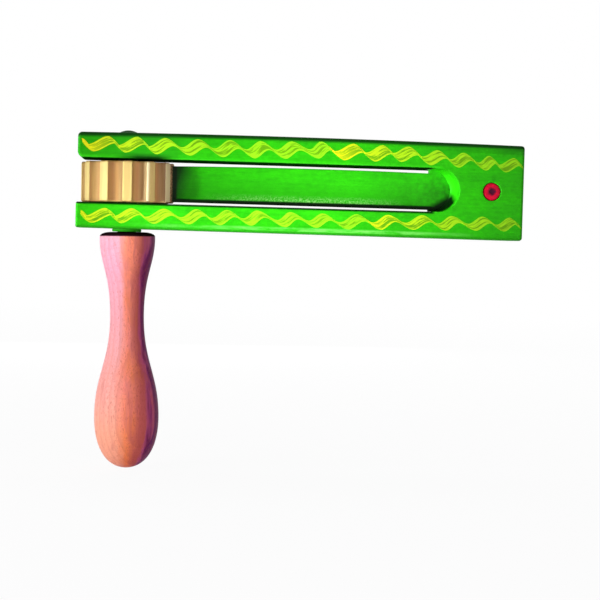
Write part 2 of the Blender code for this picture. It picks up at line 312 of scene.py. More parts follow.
def seen_directly(tree):
    """1 for what the camera sees straight, mirrored or through glass, 0 for light on its way to a surface."""
    path = grow(tree, "ShaderNodeLightPath").outputs
    return either(tree, path["Is Camera Ray"], path["Is Glossy Ray"], path["Is Transmission Ray"])


def show_white(tree, share, lit, glow, output):
    """Lets a surface or the room look white by a share, and be lit or dim for the rest."""
    both = grow(tree, "ShaderNodeMixShader", {0: share, 1: lit.outputs[0], 2: glow.outputs[0]})
    tree.links.new(both.outputs[0], tree.nodes[output].inputs["Surface"])


floor_mesh = bpy.data.meshes.new("floor")
corners = [(-1, -1), (1, -1), (1, 1), (-1, 1)]
floor_points = [(x * FLOOR_HALF, y * FLOOR_HALF, cad_box[0].z) for x, y in corners]
floor_mesh.from_pydata(floor_points, [], [(0, 1, 2, 3)])
floor = bpy.data.objects.new("floor", floor_mesh)
bpy.context.scene.collection.objects.link(floor)
material, tree, shader, place = new_finish("white_floor")
shader.inputs["Base Color"].default_value = FLOOR_PALE
shader.inputs["Roughness"].default_value = 0.9
shader.inputs["Specular IOR Level"].default_value = 0.0
glow = grow(tree, "ShaderNodeEmission", {"Color": WHITE, "Strength": 1.0})
distance = grow(tree, "ShaderNodeVectorMath", {0: place, 1: UNDER_TOY}, operation="DISTANCE").outputs["Value"]
far = sums(tree, "DIVIDE", distance, FAR_GLOW_AT)
fade = grow(tree, "ShaderNodeMath", {0: far, 1: 0.5}, operation="POWER", use_clamp=True).outputs[0]
share = product(tree, seen_directly(tree), between(tree, fade, 0.0, 1.0, NEAR_GLOW, 1.0))
show_white(tree, share, shader, glow, "Material Output")
floor_mesh.materials.append(material)
print("floor at", round(1000 * cad_box[0].z, 1), "mm")

# %% [markdown]
# The room is one colour all round. A trace of lilac in its dim light keeps the shadows from going grey.

# %% White room
ROOM_LILAC = (0.86, 0.82, 1.0, 1.0)
ROOM_DIM = 0.07
world = bpy.data.worlds.new("white_room")
world.use_nodes = True
bpy.context.scene.world = world
tree = world.node_tree
dim = tree.nodes["Background"]
dim.inputs["Color"].default_value = ROOM_LILAC
dim.inputs["Strength"].default_value = ROOM_DIM
white = grow(tree, "ShaderNodeBackground", {"Color": WHITE, "Strength": 1.0})
show_white(tree, seen_directly(tree), dim, white, "World Output")
print("room:", world.name)

# %% [markdown]
# ## Lamps
#
# The light comes from low down on the left and grazes the undersides: the lower edges of both arms shine,
# the top edge stays dark, the lower arm's shadow lies as a dark line along the tongue, and the wheel's
# shadow falls on the tongue beside it. The main lamp is therefore a flat softbox close to the floor, with a
# narrow beam beside it that brightens the middle of the frame. A lilac window far to the left and a violet
# fill from the right tint the two sides of the handle, and two small lamps in front lift the handle and the
# wheel. A rear window and a ceiling panel keep the back and the top from going black. They are kept out of
# reflections, so that the paint doesn't mirror them.


# %% Lamps
def softbox(width, height):
    """A lamp behind a sheet of cloth."""
    lamp = bpy.data.lights.new("softbox", "AREA")
    lamp.shape = "RECTANGLE"
    lamp.size = width
    lamp.size_y = height
    return lamp


def beam(degrees, bulb):
    """A lamp in a hood, with a soft edge to its cone."""
    lamp = bpy.data.lights.new("beam", "SPOT")
    lamp.spot_size = math.radians(degrees)
    lamp.spot_blend = 1.0
    lamp.shadow_soft_size = bulb
    return lamp


def hang(name, lamp, place, target, watts, colour=(1.0, 1.0, 1.0)):
    """Puts a lamp at a place and turns it towards its target."""
    lamp.name = name
    lamp.energy = watts
    lamp.color = colour
    held = bpy.data.objects.new(name, lamp)
    held.location = place
    held.rotation_euler = (Vector(target) - Vector(place)).to_track_quat("-Z", "Y").to_euler()
    held.visible_camera = False
    bpy.context.scene.collection.objects.link(held)
    return held


LILAC = (0.8, 0.58, 1.0)
VIOLET = (1.0, 0.50, 0.90)
PEACH = (1.0, 0.85, 0.8)
hang("low_left_light", softbox(0.15, 0.06), (-0.28, -0.196, 0.015), (0.03, 0.0, 0.05), 0.70)
hang("left_beam", beam(12, 0.03), (-0.31, -0.235, 0.015), (0.098, 0.0, 0.067), 20.0)
hang("lilac_window", softbox(0.12, 0.26), (-0.60, -0.16, 0.05), (0.0, 0.0, 0.0), 1.7, LILAC)
hang("violet_fill", softbox(0.4, 0.1), (0.45, -0.80, 0.02), (0.05, 0.0, 0.04), 1.9, VIOLET)
hang("low_front_card", beam(15, 0.04), (-0.10, -0.50, -0.02), (0.0, 0.0, -0.012), 2.6, PEACH)
hang("wheel_card", beam(3.8, 0.02), (0.03, -0.56, 0.064), (0.006, -0.015, 0.0712), 11.0)
rear = hang("rear_window", softbox(0.5, 0.3), (0.0, 0.75, 0.12), (0.07, 0.0, 0.05), 2.4)
ceiling = hang("ceiling_panel", softbox(0.5, 0.3), (0.07, 0.25, 0.80), (0.07, 0.0, 0.06), 1.2)
rear.visible_glossy = False
ceiling.visible_glossy = False

# %% [markdown]
# ## Green lacquer
#
# The frame is wood under one coat of bright green lacquer. Such a coat is never one flat colour: it runs
# thicker and darker in patches, the grain stands up through it in fine lines along the block, and it thins
# to a lighter green where edges were sanded round. All of that is made from noise stretched along the
# grain. The thin edges are found from the piece's own normal: on a flat face it points straight along one
# axis, on a rounded edge it leans between. The scooped end of the slot is left out of that, because no
# sandpaper got in there. Its lower part gets a painted shadow instead.

# %% Where edges and hollows are
SCOOP_SHADOW_SLOPE = 0.6
SCOOP_SHADOW_TOP = (-0.0060, -0.0086)  # from the slot's middle
SCOOP_SHADOW_REACH = (0.0020, 0.0008)  # from the slot's end


def edge_share(tree, bends):
    """0 on faces that lie along the axes, rising to 1 on edges and curves between them."""
    facing = source_of(tree, bends)[1]
    sizes = grow(tree, "ShaderNodeVectorMath", {0: facing}, operation="ABSOLUTE").outputs[0]
    return between(tree, either(tree, *split(tree, sizes)), 0.98, 0.78)


def face_distance(tree, place, x, z):
    """How far a place lies from a point of the frame's face, looking straight at it."""
    parts = split(tree, place)
    flat = grow(tree, "ShaderNodeCombineXYZ", {0: parts[0], 2: parts[2]}).outputs[0]
    apart = grow(tree, "ShaderNodeVectorMath", {0: flat, 1: (x, 0.0, z)}, operation="DISTANCE")
    return apart.outputs["Value"]


def in_scoop(tree, place, one, other):
    """0 up to one distance from the rim of the scooped end of the slot, rising to 1 at the other."""
    half = (slot_high - slot_low) / 2
    radius = face_distance(tree, place, SCOOP_END - half, slot_middle)
    return between(tree, radius, half - one, half - other)


def scoop_shadow(tree, place):
    """1 for the painted shadow low inside the scoop, below a line that rises to the right."""
    x, _, z = split(tree, place)
    rising = sums(tree, "SUBTRACT", z, product(tree, sums(tree, "SUBTRACT", x, SLIT_END), SCOOP_SHADOW_SLOPE))
    below = between(tree, rising, *from_edge(slot_middle, SCOOP_SHADOW_TOP))
    inner = between(tree, x, *from_edge(SLOT_END, SCOOP_SHADOW_REACH))
    return product(tree, below, inner, in_scoop(tree, place, 0.0, 0.0003))


print("masks for edges and hollows ready")

# %% [markdown]
# The coat itself is a mix of three noises: the grain, wide clouds where the brush left more or less paint,
# and a finer mottle. They go through a ramp from deep to bright green. The grain also lifts the surface a
# little, together with the fine peel of paint that dried quickly, so that the gloss breaks up as it does on
# brushed wood.

# %% The coat
GRAIN_ALONG_X = (45.0, 1100.0, 1100.0)
COAT_CLOUDS = (60.0, 120.0, 120.0)
COAT_PEEL = (1300.0, 1300.0, 1300.0)
COAT_MOTTLE = (420.0, 600.0, 600.0)
COAT_RELIEF = 0.00025
GREEN_DEEP = (0.017, 0.430, 0.003)
GREEN_BRIGHT = (0.032, 0.690, 0.004)
GREEN_THIN = (0.060, 0.780, 0.022)


def lacquer(name, deep, bright, thin, gloss=0.45, bends=False):
    """One coat of paint: deep where it ran thick, bright where it lies even, thin where edges were sanded."""
    material, tree, shader, place = new_finish(name, bends)
    grain = speckle(tree, place, GRAIN_ALONG_X, 5.0)
    clouds = speckle(tree, place, COAT_CLOUDS, 4.0)
    peel = speckle(tree, place, COAT_PEEL, 2.0)
    mottle = speckle(tree, place, COAT_MOTTLE, 3.0)
    tone = weighted(tree, (grain, 0.3), (clouds, 0.4), (mottle, 0.3))
    coat = ramp(tree, tone, (0.34, deep), (0.62, bright))
    outside = in_scoop(tree, place, 0.0002, -0.0004)
    worn = product(tree, edge_share(tree, bends), outside, between(tree, peel, 0.35, 0.65, 0.25, 0.7))
    tree.links.new(blend_colour(tree, worn, coat, thin), shader.inputs["Base Color"])
    tree.links.new(between(tree, clouds, 0.3, 0.7, gloss - 0.06, gloss + 0.1), shader.inputs["Roughness"])
    shader.inputs["Specular IOR Level"].default_value = 0.06
    relief(tree, shader, weighted(tree, (grain, 0.7), (peel, 0.3)), COAT_RELIEF)
    return material


green_lacquer = lacquer("green_lacquer", GREEN_DEEP, GREEN_BRIGHT, GREEN_THIN)
print("finish:", green_lacquer.name)

# %% [markdown]
# ### Painted shade and highlights on the coat
#
# On the frame some light and shade is painted into the coat. A dark band of painted shade lies along the
# rounded upper edge and follows its crown, broader towards the closed end. Inside the slot and on the rounded
# lip of the lower arm below it the coat is painted dark as shade, and a painted shadow lies on the upper arm
# over the wheel. Along the lower edge lies a pale line, partly paint sanded thin and partly a painted
# highlight, with a darker line of painted shade below. Each of these is a mask in its own small function: a
# mask is easy to look at alone, and one that is wrong can be mended without touching the others.

# %% Masks for painted shade along the top edge and in the slot
# Bands of painted shade along the upper edge:
TOP_SHADE_LINE = (-0.0024, -0.0012)  # from the upper edge
TOP_SHADE_BROAD = (-0.0050, -0.0016)
TOP_SHADE_BROAD_ALONG = (0.120, 0.168)
TOP_SHADE_BROAD_SHARE = 0.65
SLOT_ROOF = (0.0004, 0.0001)  # from the slot's upper face
SLOT_FLOOR = (-0.0004, -0.0001)  # from the slot's lower face
LIP_BAND = (-0.0011, -0.0006, 0.0, 0.0004)
SLOT_RUNS_OUT = (0.001, -0.001)  # from the slits' end
LIP_RUNS_OUT = (0.001, 0.0)


def off_top(tree, up):
    """0 on the flat upper side, 1 on all that leans away from it."""
    return between(tree, up, 0.998, 0.97)


def top_edge_shade(tree, x, z, up, along):
    """Painted shade on the rounded upper edge, which follows its crown and broadens towards the closed end.
    """
    crown = product(tree, along, sums(tree, "SUBTRACT", 1.0, along), 4 * TOP_CROWN)
    level = sums(tree, "SUBTRACT", z, crown)
    line = between(tree, level, *from_edge(block_high.z, TOP_SHADE_LINE))
    broad = between(tree, level, *from_edge(block_high.z, TOP_SHADE_BROAD))
    far_end = product(tree, between(tree, x, *TOP_SHADE_BROAD_ALONG, 0.0, TOP_SHADE_BROAD_SHARE), broad)
    return product(tree, off_top(tree, up), either(tree, line, far_end))


def slot_shade(tree, x, z, up):
    """Painted shade inside the slot, and on the rounded lip of the lower arm below it."""
    below = between(tree, z, *from_edge(slot_high, SLOT_ROOF))
    above = between(tree, z, *from_edge(slot_low, SLOT_FLOOR))
    inside = product(tree, below, above, between(tree, x, *from_edge(SLIT_END, SLOT_RUNS_OUT)))
    rounded_up = product(tree, between(tree, up, 0.02, 0.3), off_top(tree, up))
    on_lip = band(tree, z, *from_edge(slot_low, LIP_BAND))
    lip = product(tree, rounded_up, on_lip, between(tree, x, *from_edge(SLIT_END, LIP_RUNS_OUT)))
    return either(tree, inside, lip)


print("masks for runs and dark paint ready")

# %% [markdown]
# Two more masks follow the lower edges of both arms: the painted shadow over the wheel, and the pair of lines
# along the lower edge, a pale line that is partly paint sanded thin and partly a painted highlight, and a
# darker line of painted shade below it. The pale line breaks up in patches, because sandpaper skips the
# hollows between the fibres.

# %% Masks for the lower edges
# Where the painted shadow over the wheel lies:
OVER_WHEEL = (-0.006, 0.004, 0.013, 0.0215)
WHEEL_SHADOW_BAND = (-0.0005, 0.0, 0.0008, 0.0027)  # from the slot's upper face
# The pale line is partly a painted highlight, the dark line below it painted shade:
SANDED_HIGHLIGHT_BAND = (0.0009, 0.0014, 0.0022, 0.0029)  # from the lower edge
SANDED_HIGHLIGHT_ALONG = (0.0, 0.06, 0.115, 0.15)
LOWER_SHADE_LINE = (0.0014, 0.0006)
LOWER_SHADE_LINE_SHARE = 0.5


def over_wheel(tree, x, z):
    """A painted shadow at the lower edge of the upper arm, where it passes over the wheel."""
    on_arm = band(tree, z, *from_edge(slot_high, WHEEL_SHADOW_BAND))
    return product(tree, band(tree, x, *OVER_WHEEL), on_arm)


def lower_lines(tree, x, z, up, along, patches):
    """The pale line above the lower edge, sanded thin with a painted highlight, and the darker line of
    painted shade below it.
    """
    height = sums(tree, "ADD", z, product(tree, along, END_DROP))
    on_line = band(tree, height, *from_edge(block_low.z, SANDED_HIGHLIGHT_BAND))
    pale = product(tree, on_line, band(tree, x, *SANDED_HIGHLIGHT_ALONG), between(tree, patches, 0.35, 0.6))
    low = between(tree, height, *from_edge(block_low.z, LOWER_SHADE_LINE), 0.0, LOWER_SHADE_LINE_SHARE)
    return pale, product(tree, low, between(tree, up, -0.998, -0.97))


print("masks for the lower edges ready")

# %% [markdown]
# Now the masks are laid over the coat, one colour at a time, from the painted shade at the upper arm's open
# end to the black painted shadow in the scoop. The inside of the slot gets a second, matte finish as well, a
# dark coat of painted shade: a coat with any gloss would mirror the white room there, where the real one
# stays dark.

# %% Painted shade and highlights on the frame's coat
# The dark and black greens are painted shade and shadow, and the pale green is partly a painted highlight.
COAT_PAINTED_SHADE = (0.004, 0.070, 0.003)
COAT_PAINTED_BLACK = (0.001, 0.012, 0.001)
OPEN_END_SHADE = (0.014, 0.300, 0.003)
SANDED_HIGHLIGHT_GREEN = (0.200, 0.900, 0.120)
SANDED_HIGHLIGHT_PATCHES = (90.0, 500.0, 500.0)
OPEN_END_SHADE_ABOVE = (0.0, 0.002)  # from the slot's upper face
OPEN_END_SHADE_ALONG = (0.035, 0.010)
OPEN_END_SHADE_SHARE = 0.55
MATTE_PORES = (260.0, 2600.0, 2600.0)


def lay_painted_light(material):
    """Lays painted shade and shadows, and the pale line with its painted highlight, over a coat."""
    tree, shader, coat = reopen(material)
    place, facing = source_of(tree)
    x, _, z = split(tree, place)
    up = split(tree, facing)[2]
    along = between(tree, x, block_low.x, block_high.x)
    patches = speckle(tree, place, SANDED_HIGHLIGHT_PATCHES, 4.0)
    # Painted shade: the upper arm is darkened towards its open end.
    on_upper = between(tree, z, *from_edge(slot_high, OPEN_END_SHADE_ABOVE))
    open_end = product(tree, on_upper, between(tree, x, *OPEN_END_SHADE_ALONG, 0.0, OPEN_END_SHADE_SHARE))
    pale_line, dark_line = lower_lines(tree, x, z, up, along, patches)
    top_shade = top_edge_shade(tree, x, z, up, along)
    dark = either(tree, top_shade, slot_shade(tree, x, z, up), dark_line, over_wheel(tree, x, z))
    # Painted shade at the open end, along the top edge, in the slot, under the lower edge and over the wheel,
    # a painted shadow in the scoop, and a partly painted highlight on the pale line.
    colour = blend_colour(tree, open_end, coat, OPEN_END_SHADE)
    colour = blend_colour(tree, pale_line, colour, SANDED_HIGHLIGHT_GREEN)
    colour = blend_colour(tree, dark, colour, COAT_PAINTED_SHADE)
    colour = blend_colour(tree, scoop_shadow(tree, place), colour, COAT_PAINTED_BLACK)
    tree.links.new(colour, shader.inputs["Base Color"])


def matte_coat(name, dark, pale):
    """A dark matte finish without any gloss, for painted shade on surfaces that lie in shadow."""
    material, tree, shader, place = new_finish(name)
    pores = speckle(tree, place, MATTE_PORES, 3.0)
    tree.links.new(ramp(tree, pores, (0.35, dark), (0.7, pale)), shader.inputs["Base Color"])
    tree.links.new(between(tree, pores, 0.3, 0.7, 0.7, 0.9), shader.inputs["Roughness"])
    shader.inputs["Specular IOR Level"].default_value = 0.0
    relief(tree, shader, pores, 0.0001)
    return material


lay_painted_light(green_lacquer)
# A dark matte coat of painted shade for the inside of the slot.
slot_shade_coat = matte_coat("slot_shade_coat", COAT_PAINTED_BLACK, COAT_PAINTED_SHADE)
print("runs and sanded edges added to", green_lacquer.name, "and", slot_shade_coat.name, "made")

# %% [markdown]
# ## Shapes in few words
#
# On the bench, wood is sawn to an outline, rounded at the edges, drilled and turned. The helpers here
# follow that: `block_from` stacks one outline several times, the full outline for the sides and copies that
# are each moved a little further in for the rounded edges, as sandpaper would. `turned` spins a profile as
# a lathe does, and `carve` cuts with Boolean modifiers. A bevel on a cut cube would be the usual way, but
# bevels meet badly where a scoop runs into a slot.


# %% Helpers for outlines
def quarter(steps):
    """The angles of a quarter turn in even steps."""
    return [math.pi / 2 * step / steps for step in range(steps + 1)]


def arms(corners, i):
    """A corner's place and the two directions in which its edges leave it."""
    here = Vector(corners[i][:2])
    before = (Vector(corners[i - 1][:2]) - here).normalized()
    after = (Vector(corners[(i + 1) % len(corners)][:2]) - here).normalized()
    return here, before, after


def rounded(corners, steps):
    """The points of an outline of (x, y, radius) corners, each an arc, or one point without a radius."""
    points = []
    for i, (_, _, radius) in enumerate(corners):
        here, before, after = arms(corners, i)
        if not radius:
            points.append(here)
            continue
        half = before.angle(after) / 2
        centre = here + (before + after).normalized() * radius / math.sin(half)
        start = here + before * radius / math.tan(half) - centre
        sweep = start.angle_signed(here + after * radius / math.tan(half) - centre)
        for step in range(steps + 1):
            spoke = start.copy()
            spoke.rotate(Matrix.Rotation(-sweep * step / steps, 2))
            points.append(centre + spoke)
    return points


def inset(corners, distance):
    """The same outline with every edge moved inwards, its corners turning tighter or wider to suit."""
    moved = []
    for i, (_, _, radius) in enumerate(corners):
        here, before, after = arms(corners, i)
        if not radius:
            along = (after - before).normalized()
            spot = here + Vector((-along.y, along.x)) * distance
            moved.append((spot.x, spot.y, 0.0))
            continue
        outer = math.copysign(1.0, after.cross(before))
        spot = here + (before + after) * distance * outer
        moved.append((spot.x, spot.y, max(radius - distance * outer, 0.000001)))
    return moved


print("helpers for outlines ready")

# %% [markdown]
# A mesh that is built point by point is handed to `from_points`, which turns its faces outwards. `settle`
# swaps a mesh for what its modifiers make of it, so that the next step can cut into the result.


# %% Helpers for meshes
def into_scene(name, mesh):
    """A mesh as a piece in the scene."""
    piece = bpy.data.objects.new(name, mesh)
    bpy.context.scene.collection.objects.link(piece)
    return piece


def from_points(name, made, merge=0.0):
    """A piece from a mesh built point by point. Points closer than merge become one."""
    if merge:
        bmesh.ops.remove_doubles(made, verts=made.verts, dist=merge)
    bmesh.ops.recalc_face_normals(made, faces=made.faces)
    mesh = bpy.data.meshes.new(name)
    made.to_mesh(mesh)
    made.free()
    return into_scene(name, mesh)


def face_outwards(mesh):
    """Turns all faces of a closed mesh outwards."""
    shell = bmesh.new()
    shell.from_mesh(mesh)
    bmesh.ops.recalc_face_normals(shell, faces=shell.faces)
    shell.to_mesh(mesh)
    shell.free()


def settle(piece):
    """Replaces a piece's mesh by what its modifiers make of it."""
    bpy.context.view_layer.update()
    seen = piece.evaluated_get(bpy.context.evaluated_depsgraph_get())
    mesh = bpy.data.meshes.new_from_object(seen)
    piece.modifiers.clear()
    piece.data = mesh


print("helpers for meshes ready")

# %% [markdown]
# These three do the wood work itself: a sanded block, a turned piece, and a cut by another shape.


# %% Helpers for solid shapes
def block_from(name, corners, depth, ease, steps=6, arc_steps=16):
    """A filled outline in the XZ plane, deep along Y, with its edges rounded."""
    front = []
    for angle in quarter(steps):
        ring = rounded(inset(corners, ease * (1 - math.sin(angle))), arc_steps)
        front.append((ring, depth / 2 - ease * (1 - math.cos(angle))))
    rings = [(ring, -y) for ring, y in front] + front[::-1]
    made = bmesh.new()
    layers = [[made.verts.new((p.x, y, p.y)) for p in ring] for ring, y in rings]
    for one, other in zip(layers, layers[1:]):
        for i in range(len(one)):
            made.faces.new((one[i - 1], one[i], other[i], other[i - 1]))
    made.faces.new(layers[0])
    made.faces.new(layers[-1])
    return from_points(name, made, merge=0.000003)


def turned(name, profile, steps=96):
    """A profile of (radius, height) points swept round the Z axis, as on a lathe."""
    mesh = bpy.data.meshes.new(name)
    points = [(radius, 0.0, height) for radius, height in profile]
    mesh.from_pydata(points, [(i, i + 1) for i in range(len(points) - 1)], [])
    piece = into_scene(name, mesh)
    screw = piece.modifiers.new("lathe", "SCREW")
    screw.steps = steps
    screw.render_steps = steps
    screw.use_merge_vertices = True
    screw.merge_threshold = 0.000005
    settle(piece)
    face_outwards(piece.data)
    return piece


def carve(piece, *cutters):
    """Cuts each cutter's shape out of a piece and throws the cutter away."""
    for cutter in cutters:
        boolean = piece.modifiers.new("cut", "BOOLEAN")
        boolean.operation = "DIFFERENCE"
        boolean.solver = "EXACT"
        boolean.object = cutter
    settle(piece)
    for cutter in cutters:
        bpy.data.objects.remove(cutter)


print("helpers for solid shapes ready")

# %% [markdown]
# The last helpers prepare a surface for its finish. Smooth shading alone would bend the light over large
# flat faces near a rounded edge, so `keep_flats` lets the flats set the normals.


# %% Helpers for surfaces
def smooth_sides(piece, degrees=32):
    """Smooth shading, broken at edges sharper than an angle."""
    piece.data.shade_smooth()
    piece.data.set_sharp_from_angle(angle=math.radians(degrees))


def keep_flats(piece):
    """Lets the large flat faces set the normals, so that only the rounded edges look rounded."""
    weighted_normals = piece.modifiers.new("flats", "WEIGHTED_NORMAL")
    weighted_normals.keep_sharp = True
    weighted_normals.weight = 100
    settle(piece)


def coat_with(piece, material):
    """Gives a piece one finish all over."""
    piece.data.materials.clear()
    piece.data.materials.append(material)


def give_faces(piece, material, wanted):
    """Adds a second finish to a piece and gives it to the faces that are wanted."""
    piece.data.materials.append(material)
    chosen = [face for face in piece.data.polygons if wanted(face)]
    for face in chosen:
        face.material_index = len(piece.data.materials) - 1
    return len(chosen)


print("helpers for surfaces ready")

# %% [markdown]
# ## The frame
#
# The frame starts as a block with a slot milled in from one end. Its upper edge is slightly crowned, its
# closed end reaches a little further down, and the lower arm is a touch longer than the upper one. All of
# that fits in one outline: a list of corners, each with the radius that it was sanded to.

# %% The block and its slot
EDGE_EASE = 0.0014
LONGER_ARM = 0.0004
LOWER_ARM_CORNER = 0.0008
END_CORNER = 0.0014
UPPER_ARM_CORNER = 0.0018
SLOT_MOUTH = 0.0026
CROWN_POINTS = 12
SLOT_RADIUS = (slot_high - slot_low) / 2

crowned = []
for step in range(CROWN_POINTS - 1, 0, -1):
    share = step / CROWN_POINTS
    rise = 4 * TOP_CROWN * share * (1 - share)
    crowned.append((block_low.x + (block_high.x - block_low.x) * share, block_high.z + rise, 0.0))
block_corners = [
    (block_low.x - LONGER_ARM, block_low.z, LOWER_ARM_CORNER),
    (block_high.x, block_low.z - END_DROP, END_CORNER),
    (block_high.x, block_high.z, END_CORNER),
    *crowned,
    (block_low.x, block_high.z, UPPER_ARM_CORNER),
    (block_low.x, slot_high, SLOT_MOUTH),
    (SLOT_END, slot_high, SLOT_RADIUS),
    (SLOT_END, slot_low, SLOT_RADIUS),
    (block_low.x - LONGER_ARM, slot_low, LOWER_ARM_CORNER),
]
painted_frame = block_from("painted_frame", block_corners, 2 * half_depth, EDGE_EASE)
print("block of", len(painted_frame.data.polygons), "faces")

# %% [markdown]
# The slot's closed end is scooped out from both faces with a round cutter, the axle and the peg get drilled
# holes, and the tongue's tail gets a mortise. Each cutter is a shape of its own, so Booleans are the direct
# way. The scoop's profile is a quarter of an ellipse with a small rounded lip, which gives the bright
# crescent at the slot's end.

# %% Shapes of the cutters
SCOOP_RUN = 0.0024
SCOOP_FLOOR = 0.0015
SCOOP_LIP = 0.0003
OVERRUN = 0.002
COVE_STEPS = 10
LIP_STEPS = 4
SIDEWAYS = Matrix.Rotation(math.pi / 2, 4, "X")


def scoop(facing):
    """A round cutter's shape: flat at its floor, steep at the face, with a small rounded lip."""
    narrow = SLOT_RADIUS - SCOOP_RUN
    rise = half_depth - SCOOP_LIP - SCOOP_FLOOR
    profile = [(0.0, SCOOP_FLOOR)]
    for angle in quarter(COVE_STEPS):
        profile.append((narrow + SCOOP_RUN * math.sin(angle), SCOOP_FLOOR + rise * (1 - math.cos(angle))))
    for angle in quarter(LIP_STEPS)[1:]:
        lip = SCOOP_LIP * (1 - math.cos(angle))
        profile.append((SLOT_RADIUS + lip, half_depth - SCOOP_LIP + SCOOP_LIP * math.sin(angle)))
    profile.append((SLOT_RADIUS + SCOOP_LIP, half_depth + OVERRUN))
    profile.append((0.0, half_depth + OVERRUN))
    cutter = turned("scoop", profile)
    place = Matrix.Translation((SCOOP_END - SLOT_RADIUS, 0, slot_middle))
    cutter.data.transform(place @ Matrix.Rotation(facing, 4, "Z") @ SIDEWAYS)
    return cutter


def drilled(radius, length, lip, place, turn):
    """A drilled hole's shape, its rims slightly broken."""
    end = length / 2
    profile = [
        (0.0, -end - OVERRUN),
        (radius + lip + OVERRUN, -end - OVERRUN),
        (radius, -end + lip),
        (radius, end - lip),
        (radius + lip + OVERRUN, end + OVERRUN),
        (0.0, end + OVERRUN),
    ]
    cutter = turned("drill", profile, 64)
    cutter.data.transform(Matrix.Translation(place) @ turn)
    return cutter


def box_cutter(low, high):
    """A chisel's straight-sided hole between two corners."""
    made = bmesh.new()
    middle = Matrix.Translation((Vector(high) + Vector(low)) / 2)
    full_size = Matrix.Diagonal((*(Vector(high) - Vector(low)), 1.0))
    bmesh.ops.create_cube(made, size=1.0, matrix=middle @ full_size)
    return from_points("mortise", made)


print("cutters ready")

# %% [markdown]
# All cuts are made in one go. The peg sits a little left of the middle of the end block, as drilled by
# hand. After the cuts the block gets its green coat, and the faces inside the slot get the dark matte coat of
# painted shade.

# %% Scoops, holes and mortise
PEG_OFF = 0.0007
PEG_X = (peg_low.x + peg_high.x) / 2 - PEG_OFF
PEG_RADIUS = (peg_high.x - peg_low.x) / 2
BROKEN_RIM = 0.0002
GLUE_LINE = 0.00004
ON_FACE = 0.0002
frame_height = block_high.z - block_low.z
frame_centre = (block_low.z + block_high.z) / 2
carve(
    painted_frame,
    scoop(0.0),
    scoop(math.pi),
    drilled(AXLE_RADIUS + FIT, frame_height, BROKEN_RIM, (0, 0, frame_centre), Matrix()),
    drilled(PEG_RADIUS + BROKEN_RIM, 2 * half_depth, BROKEN_RIM, (PEG_X, 0, slot_middle), SIDEWAYS),
    box_cutter(
        (SLIT_END, -SCOOP_FLOOR - GLUE_LINE, slot_low),
        (tail_high.x + FIT, SCOOP_FLOOR + GLUE_LINE, slot_high),
    ),
)
smooth_sides(painted_frame)
keep_flats(painted_frame)
coat_with(painted_frame, green_lacquer)


def in_slot(face):
    """True for the flat upper and lower faces of the slot."""
    off_face = min(abs(face.center.z - slot_high), abs(face.center.z - slot_low))
    return off_face < ON_FACE and abs(face.normal.z) > 0.9 and face.center.x < SLIT_END


# The slot's flat upper and lower faces get the dark matte coat of painted shade.
inner_faces = give_faces(painted_frame, slot_shade_coat, in_slot)
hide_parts("frame")
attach(painted_frame, "frame")
print("frame of", len(painted_frame.data.polygons), "faces,", inner_faces, "of them in the slot")

# %% [markdown]
# ## The ribbon border
#
# Along both arms runs a ribbon painted with a flat brush. The hand draws a simple wave and never turns the
# brush: where the wave falls, the brush moves along its own edge and leaves a thin line, and where it
# rises, it moves across and leaves a broad leaf. The bristles leave streaks in each leaf, the rims and the
# thin lines stay fully covered, and the colour goes from full yellow to a thin yellow-green as the brush
# runs dry. A texture could show that from the front only. Here the stroke is swept as real paint, and four
# numbers stored on its points let the finish follow the brush: across and along the stroke, how wet the
# brush was and how far the stroke spreads.

# %% Yellow brush paint
YELLOW_FULL = (0.92, 0.94, 0.010)
YELLOW_THIN = (0.22, 0.90, 0.012)
UNDER_STREAK = (0.13, 0.46, 0.005)
STREAKS_ACROSS = 6.5
STREAKS_ALONG = 130.0


def brush_paint():
    """Yellow paint whose streaks follow the brush."""
    material, tree, shader, _ = new_finish("yellow_brush_paint")
    across, along, load, spread = [stored(tree, name) for name in ("across", "along", "load", "spread")]
    bristles = product(tree, across, STREAKS_ACROSS)
    on_stroke = grow(tree, "ShaderNodeCombineXYZ", {0: bristles, 1: along, 2: load})
    streak = speckle(tree, on_stroke.outputs[0], (1.0, STREAKS_ALONG, 1.0), 3.0)
    rim = between(tree, sums(tree, "ABSOLUTE", sums(tree, "SUBTRACT", across, 0.5)), 0.33, 0.42)
    body = between(tree, streak, 0.42, 0.54)
    full = either(tree, between(tree, load, 0.6, 1.0), between(tree, spread, 0.55, 0.3))
    fresh = blend_colour(tree, load, YELLOW_THIN, YELLOW_FULL)
    colour = blend_colour(tree, either(tree, rim, body, full), UNDER_STREAK, fresh)
    tree.links.new(colour, shader.inputs["Base Color"])
    shader.inputs["Roughness"].default_value = 0.5
    shader.inputs["Specular IOR Level"].default_value = 0.06
    relief(tree, shader, streak, 0.00015)
    return material


yellow_brush_paint = brush_paint()
print("finish:", yellow_brush_paint.name)

# %% [markdown]
# The wave is given by the places where it turns, in millimetres along the frame, because a hand keeps no
# even rhythm. The heights of its crests and valleys wander slowly, as three values from end to end, and the
# hand strays a little more at some places. The brush was dipped again at each reload, and the lower border
# was painted with less on it. A sine with noise would be shorter to write, but it would look like a
# machine's work.

